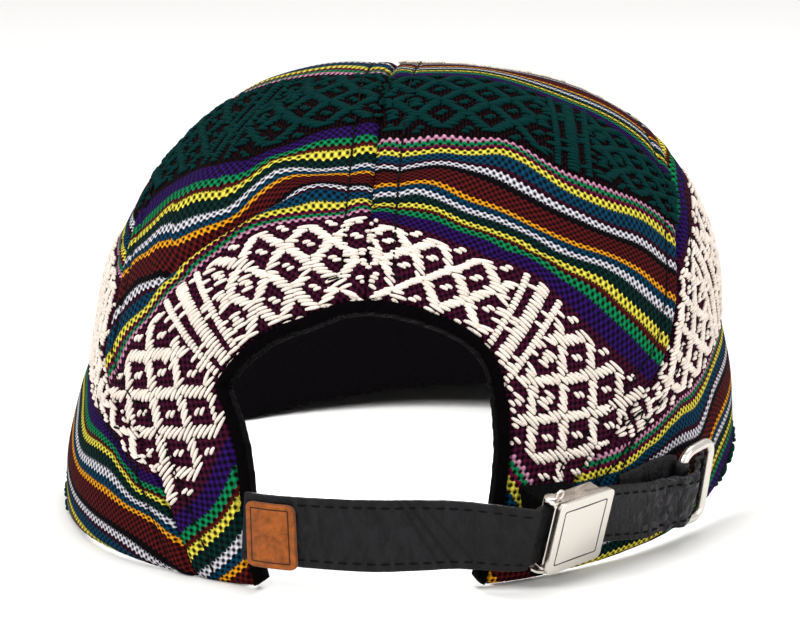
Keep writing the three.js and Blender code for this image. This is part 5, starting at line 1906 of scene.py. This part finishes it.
class CAP_OT_strap(bpy.types.Operator):
    """Makes the leather strap with its stitching"""

    bl_idname = "cap.strap"
    bl_label = "Strap"

    def execute(self, context):
        leather = context.scene.cap_leather
        frames = strap_frames(18)
        travelled = travel(np.array([frame[0] for frame in frames]))
        total = travelled[-1]
        rings, creased = [], []
        for (middle, side, out, width), distance in zip(frames, travelled):
            # The free end narrows a little, as its corners are worn
            inset = 0.35 * math.exp(-(total - distance) / 0.5)
            section = strip_section(width - 2 * inset, STRAP_THICK, leather.edge / MM)
            rings.append([middle + side * across + out * (up + strap_relief(distance, across, total))
                          for across, up in section])
            # How deep each point lies in a crease, which sets the painted shade there
            creased += [strap_crease(distance, across) / DEEPEST_CREASE for across, up in section]
        piece = swept("leather_strap", rings)
        # Where along the strap the painted highlights of the crumpled free end lie
        painted_highlight = np.clip((travelled - (total - CRUMPLED - 2)) / CRUMPLE_STARTS, 0, 1)
        add_values(piece.data, "worn", np.repeat(painted_highlight, len(rings[0])))
        add_values(piece.data, "creased", np.clip(creased, 0, 1))
        set_finish(piece, made_once(black_leather, leather), replaced=["strap"])
        pitch, inset = leather.stitch / MM, leather.stitch_inset / MM
        clasp, clasp_along = clasp_axes()[:2]
        rows = []
        for edge in (-1, 1):
            for distance in np.arange(2.0, total - 2, pitch):
                k = int(np.clip(np.searchsorted(travelled, distance) - 1, 0, len(frames) - 2))
                t = (distance - travelled[k]) / (travelled[k + 1] - travelled[k])
                first, second = frames[k], frames[k + 1]
                middle, side, out, width = (first[n] * (1 - t) + second[n] * t for n in range(4))
                if UNSTITCHED[0] < np.dot(middle - clasp, clasp_along) < UNSTITCHED[1]:
                    continue
                across = edge * (width / 2 - inset)
                lift = STRAP_THICK / 2 - 0.08 + strap_relief(distance, across, total)
                rows.append((middle + side * across + out * lift, unit(second[0] - first[0]), out))
        places, along, outs = (np.array(part) for part in zip(*rows))
        stitches = lay_yarns("strap_stitches", places, along, outs, pitch * 0.72, 0.55, 0.5)
        set_finish(stitches, made_once(sewing_thread, leather))
        return {"FINISHED"}


def finished_copy(name, node, bevel):
    """A copy of a solid with merged faces and bevelled edges."""
    bpy.ops.object.select_all(action="DESELECT")
    piece = bpy.data.objects[node].copy()
    piece.data = bpy.data.objects[node].data.copy()
    piece.name = name
    bpy.context.scene.collection.objects.link(piece)
    piece.parent = None
    bpy.context.view_layer.objects.active = piece
    piece.select_set(True)
    bpy.ops.object.mode_set(mode="EDIT")
    bpy.ops.mesh.select_all(action="SELECT")
    bpy.ops.mesh.remove_doubles(threshold=0.005 * MM)
    bpy.ops.mesh.dissolve_limited(angle_limit=math.radians(1))
    bpy.ops.object.mode_set(mode="OBJECT")
    step = piece.modifiers.new("Bevel", "BEVEL")
    step.width = bevel
    step.segments = 3
    step.limit_method = "ANGLE"
    step.angle_limit = math.radians(30)
    bpy.ops.object.modifier_apply(modifier=step.name)
    bpy.ops.object.shade_smooth_by_angle(angle=math.radians(40))
    return piece


# The tab's profile from its back round its cut edge to its face: how far in from the edge, and how
# high. The burnt line lies on two of these places, and the browned edge on the first ones.
TAB_PROFILE = ((4.5, 0), (0.5, 0), (0.1, 0.1), (0, 0.45), (0, 1.0), (0.1, 1.25), (0.35, 1.38),
               (0.8, 1.42), (1.25, 1.4), (1.36, 1.2), (1.56, 1.2), (1.67, 1.4), (2.4, 1.46),
               (3.5, 1.47), (4.5, 1.48))
BURNT_LINE = (9, 10)
CUT_EDGE = 6
TAB_CORNER = 1.7
# The keeper's fold round the ring: from its foot, how long, its steps, half its sizes and its corner
FOLD_FOOT = -7.6
FOLD_LONG = 14.3
FOLD_STEPS = 24
FOLD_SECTION = (2.3, 1.75, 1.6)


def tab_off(turn):
    """How far the tab's middle stands off the crown, over the strap, less half a strap."""
    rows = STRAP_LEFT[:3]
    share = max((turn - rows[0][0]) / (rows[2][0] - rows[0][0]), 0)
    off = along_rows(np.array(rows), 3, np.float64(share))
    return float(off) + STRAP_THICK / 2 + LAYER_GAP + TAB_THICK / 2


class CAP_OT_tabs(bpy.types.Operator):
    """Makes the tan tab, the keeper's leather and the felt block behind the clasp"""

    bl_idname = "cap.tabs"
    bl_label = "Leather tabs"

    def execute(self, context):
        leather = context.scene.cap_leather
        tan = made_once(tan_leather, leather)
        black = made_once(black_leather, leather)
        self.tab(tan)
        self.keeper(black)
        block = finished_copy("clasp_block", "clasp_anchor", leather.edge)
        set_finish(block, made_once(block_felt, leather),
                   replaced=["clasp_anchor"])
        return {"FINISHED"}

    def keeper(self, black):
        """The leather strip that holds the ring, and its fold round the ring's inner bar. Where they
        show above the strap, their black is partly painted shade on the cloth.
        """
        stations = [crown_station(*row, KEEPER_THICK) for row in KEEPER]
        frames = smooth_frames(stations, 8)
        rings = [[middle + side * x + out * y for x, y in strip_section(width, KEEPER_THICK, 0.3)]
                 for middle, side, out, width in frames]
        set_finish(swept("keeper_leather", rings), black, replaced=["keeper_tab"])
        middle, ahead, side, face = ring_axes()
        rings = []
        for step in range(FOLD_STEPS + 1):
            y = FOLD_FOOT + FOLD_LONG * step / FOLD_STEPS
            size = 1 + 0.05 * math.sin(step * 1.9) - 0.3 * (step in (0, FOLD_STEPS))
            rings.append([
                middle + ahead * (size * u - RING_HALF_WIDE - 0.45) + side * y + face * size * v
                for u, v in rounded_outline(*FOLD_SECTION, flats=3)])
        set_finish(swept("keeper_fold", rings), black)

    def tab(self, tan):
        """The tan tab: rounded corners, and a burnt line pressed in beside its edge."""
        half = math.radians(TAB_TURNS[1] - TAB_TURNS[0]) * TAB_REACH / 2
        rings = []
        for inset, rise in TAB_PROFILE:
            ring = []
            for x, y in rounded_outline(half - inset, TAB_WIDTH / 2 - inset, TAB_CORNER - inset):
                share = (x / half + 1) / 2
                turn = TAB_TURNS[0] + (TAB_TURNS[1] - TAB_TURNS[0]) * share
                height = TAB_HEIGHTS[0] + (TAB_HEIGHTS[1] - TAB_HEIGHTS[0]) * share
                middle, side, out, _ = crown_station(turn, height, TAB_WIDTH, tab_off(turn), 0)
                side = turned(side, out, TAB_SLANT)
                ring.append(middle + side * y + out * (rise - TAB_THICK / 2))
            rings.append(ring)
        piece = swept("tan_tab", rings)
        dark = [1.0 if k in BURNT_LINE else 0.45 * (k < CUT_EDGE) for k in range(len(rings))]
        add_values(piece.data, "burn", np.repeat(dark, len(rings[0])))
        set_finish(piece, tan, replaced=["leather_tab"])


class CAP_OT_clasp(bpy.types.Operator):
    """Finishes the lever clasp and the keeper ring"""

    bl_idname = "cap.clasp"
    bl_label = "Clasp and ring"

    def execute(self, context):
        metal = context.scene.cap_metal
        nickel = made_once(polished_nickel, metal)
        for name, node, body in (("lever_plate", "clasp_lever", "lever"),
                                 ("clasp_bed", "clasp_tray", "cap"),
                                 ("hinge_pin", "clasp_pin", "cap")):
            piece = finished_copy(name, node, metal.edge)
            set_finish(piece, nickel, body=body, replaced=[node])
        self.ring(nickel)
        self.frame_line(metal)
        self.loop(nickel)
        return {"FINISHED"}

    def ring(self, nickel):
        """The open wire ring that the strap's end runs through."""
        middle, ahead, side, face = ring_axes()
        outline = rounded_outline(RING_HALF_WIDE, RING_HALF_TALL, RING_CORNER, turns=9, flats=8)
        places = np.array([
            middle + ahead * x + side * y * (1 - 0.09 * (1 - x / RING_HALF_WIDE) * (y > 0))
            for x, y in outline])
        piece = wire_loop("wire_ring", places, face, RING_WIRE, sides=16)
        set_finish(piece, nickel, replaced=["keeper_ring"])

    def frame_line(self, metal):
        """The fine dark line engraved beside the plate's edge."""
        centre, along, side, out = clasp_axes()
        rings = []
        for x, y in rounded_outline(PLATE_HALF - 2.1, PLATE_HALF - 2.2, 0.6):
            inner = 1 - 0.44 / math.hypot(x, y)
            ring = [centre + along * (PLATE_MIDDLE + x * k) + side * y * k + out * (PLATE_TOP + rise)
                    for k, rise in ((1, -0.1), (1, 0.015), (inner, 0.015), (inner, -0.1))]
            rings.append(ring)
        piece = swept("plate_frame_line", rings, closed=True, smooth=False)
        set_finish(piece, engraved_line(metal), body="lever")

    def loop(self, nickel):
        """The small wire loop that ends the hinge pin."""
        centre, along, side, out = clasp_axes()
        middle = centre + along * (PIN_ALONG + 0.4) + out * PIN_OUT + side * (PLATE_HALF + 1.5)
        angles = 2 * np.pi * np.arange(20) / 20
        places = middle + 1.15 * (np.cos(angles)[:, None] * along + np.sin(angles)[:, None] * side)
        piece = wire_loop("pin_loop", places, out, 0.34, sides=10)
        set_finish(piece, nickel)


def turn_to(item, place, ahead):
    """Puts a light or the camera at a place, and turns it ahead."""
    item.location = place
    item.rotation_mode = "QUATERNION"
    item.rotation_quaternion = Vector(ahead).to_track_quat("-Z", "Y")


def area_light(name, place, target, size, power):
    """A soft square light that points at a place and isn't seen itself."""
    data = bpy.data.lights.new(name, "AREA")
    data.shape = "SQUARE"
    data.size = size
    data.energy = power
    light = add_object(name, data)
    turn_to(light, place, Vector(target) - Vector(place))
    light.visible_camera = False


class CAP_OT_stage(bpy.types.Operator):
    """Sets the floor, the light and the camera"""

    bl_idname = "cap.stage"
    bl_label = "Stage"

    def execute(self, context):
        stage = context.scene.cap_stage
        bpy.ops.object.select_all(action="DESELECT")
        bpy.ops.mesh.primitive_plane_add(size=6, location=(0, 0, 0))
        floor = context.active_object
        floor.name = "floor"
        finish = new_material("pale_paper_floor")[1]
        floor.data.materials.append(finish({"Base Color": (*stage.floor, 1), "Roughness": 0.9}))
        world = bpy.data.worlds.new("even_surround")
        world.use_nodes = True
        fill_inputs(world.node_tree, world.node_tree.nodes["Background"], {
            "Color": (1, 1, 1, 1), "Strength": stage.sky})
        context.scene.world = world
        middle = (0, 0, 0.05)
        area_light("key_light", (-0.55, -0.8, 0.95), middle, 0.7, stage.key)
        area_light("fill_light", (0.9, -0.7, 0.5), middle, 0.9, stage.key * 0.45)
        area_light("top_light", (0.1, 0.25, 1.1), middle, 0.8, stage.key * 0.6)
        area_light("opening_light", (-0.002, -0.02, 0.066), (-0.002, -0.0201, 0), 0.08,
                   stage.opening)
        data = bpy.data.cameras.new("camera")
        data.lens = CAMERA_LENS
        data.sensor_width = SENSOR
        data.sensor_fit = "HORIZONTAL"
        data.clip_end = 20
        camera = add_object("camera", data)
        axes = camera_axes()
        turn_to(camera, axes[0] * MM, -axes[3])
        context.scene.camera = camera
        context.scene.view_settings.view_transform = "Standard"
        return {"FINISHED"}


class CAP_PT_pieces(bpy.types.Panel):
    """Lists the pieces of the cap"""

    bl_idname = "CAP_PT_pieces"
    bl_label = "Five-panel cap"
    bl_space_type = "VIEW_3D"
    bl_region_type = "UI"
    bl_category = "Cap"

    def draw(self, context):
        for operator in OPERATORS:
            self.layout.operator(operator.bl_idname)


SETTINGS = {
    "cap_cloth": ClothSettings,
    "cap_leather": LeatherSettings,
    "cap_metal": MetalSettings,
    "cap_stage": StageSettings,
}
OPERATORS = (
    CAP_OT_stage, CAP_OT_panels, CAP_OT_brocade, CAP_OT_seams, CAP_OT_inside, CAP_OT_peak, CAP_OT_strap,
    CAP_OT_tabs, CAP_OT_clasp)


def register():
    """Registers the settings, the operators and the panel."""
    for name, group in SETTINGS.items():
        bpy.utils.register_class(group)
        setattr(bpy.types.Scene, name, bpy.props.PointerProperty(type=group))
    for item in (*OPERATORS, CAP_PT_pieces):
        bpy.utils.register_class(item)


def unregister():
    """Takes them out again."""
    for item in (CAP_PT_pieces, *reversed(OPERATORS)):
        bpy.utils.unregister_class(item)
    for name, group in SETTINGS.items():
        delattr(bpy.types.Scene, name)
        bpy.utils.unregister_class(group)


def main():
    """Makes the pieces in order."""
    register()
    for operator in OPERATORS:
        word = operator.bl_idname.split(".")[1]
        getattr(bpy.ops.cap, word)()


if __name__ == "__main__":
    main()
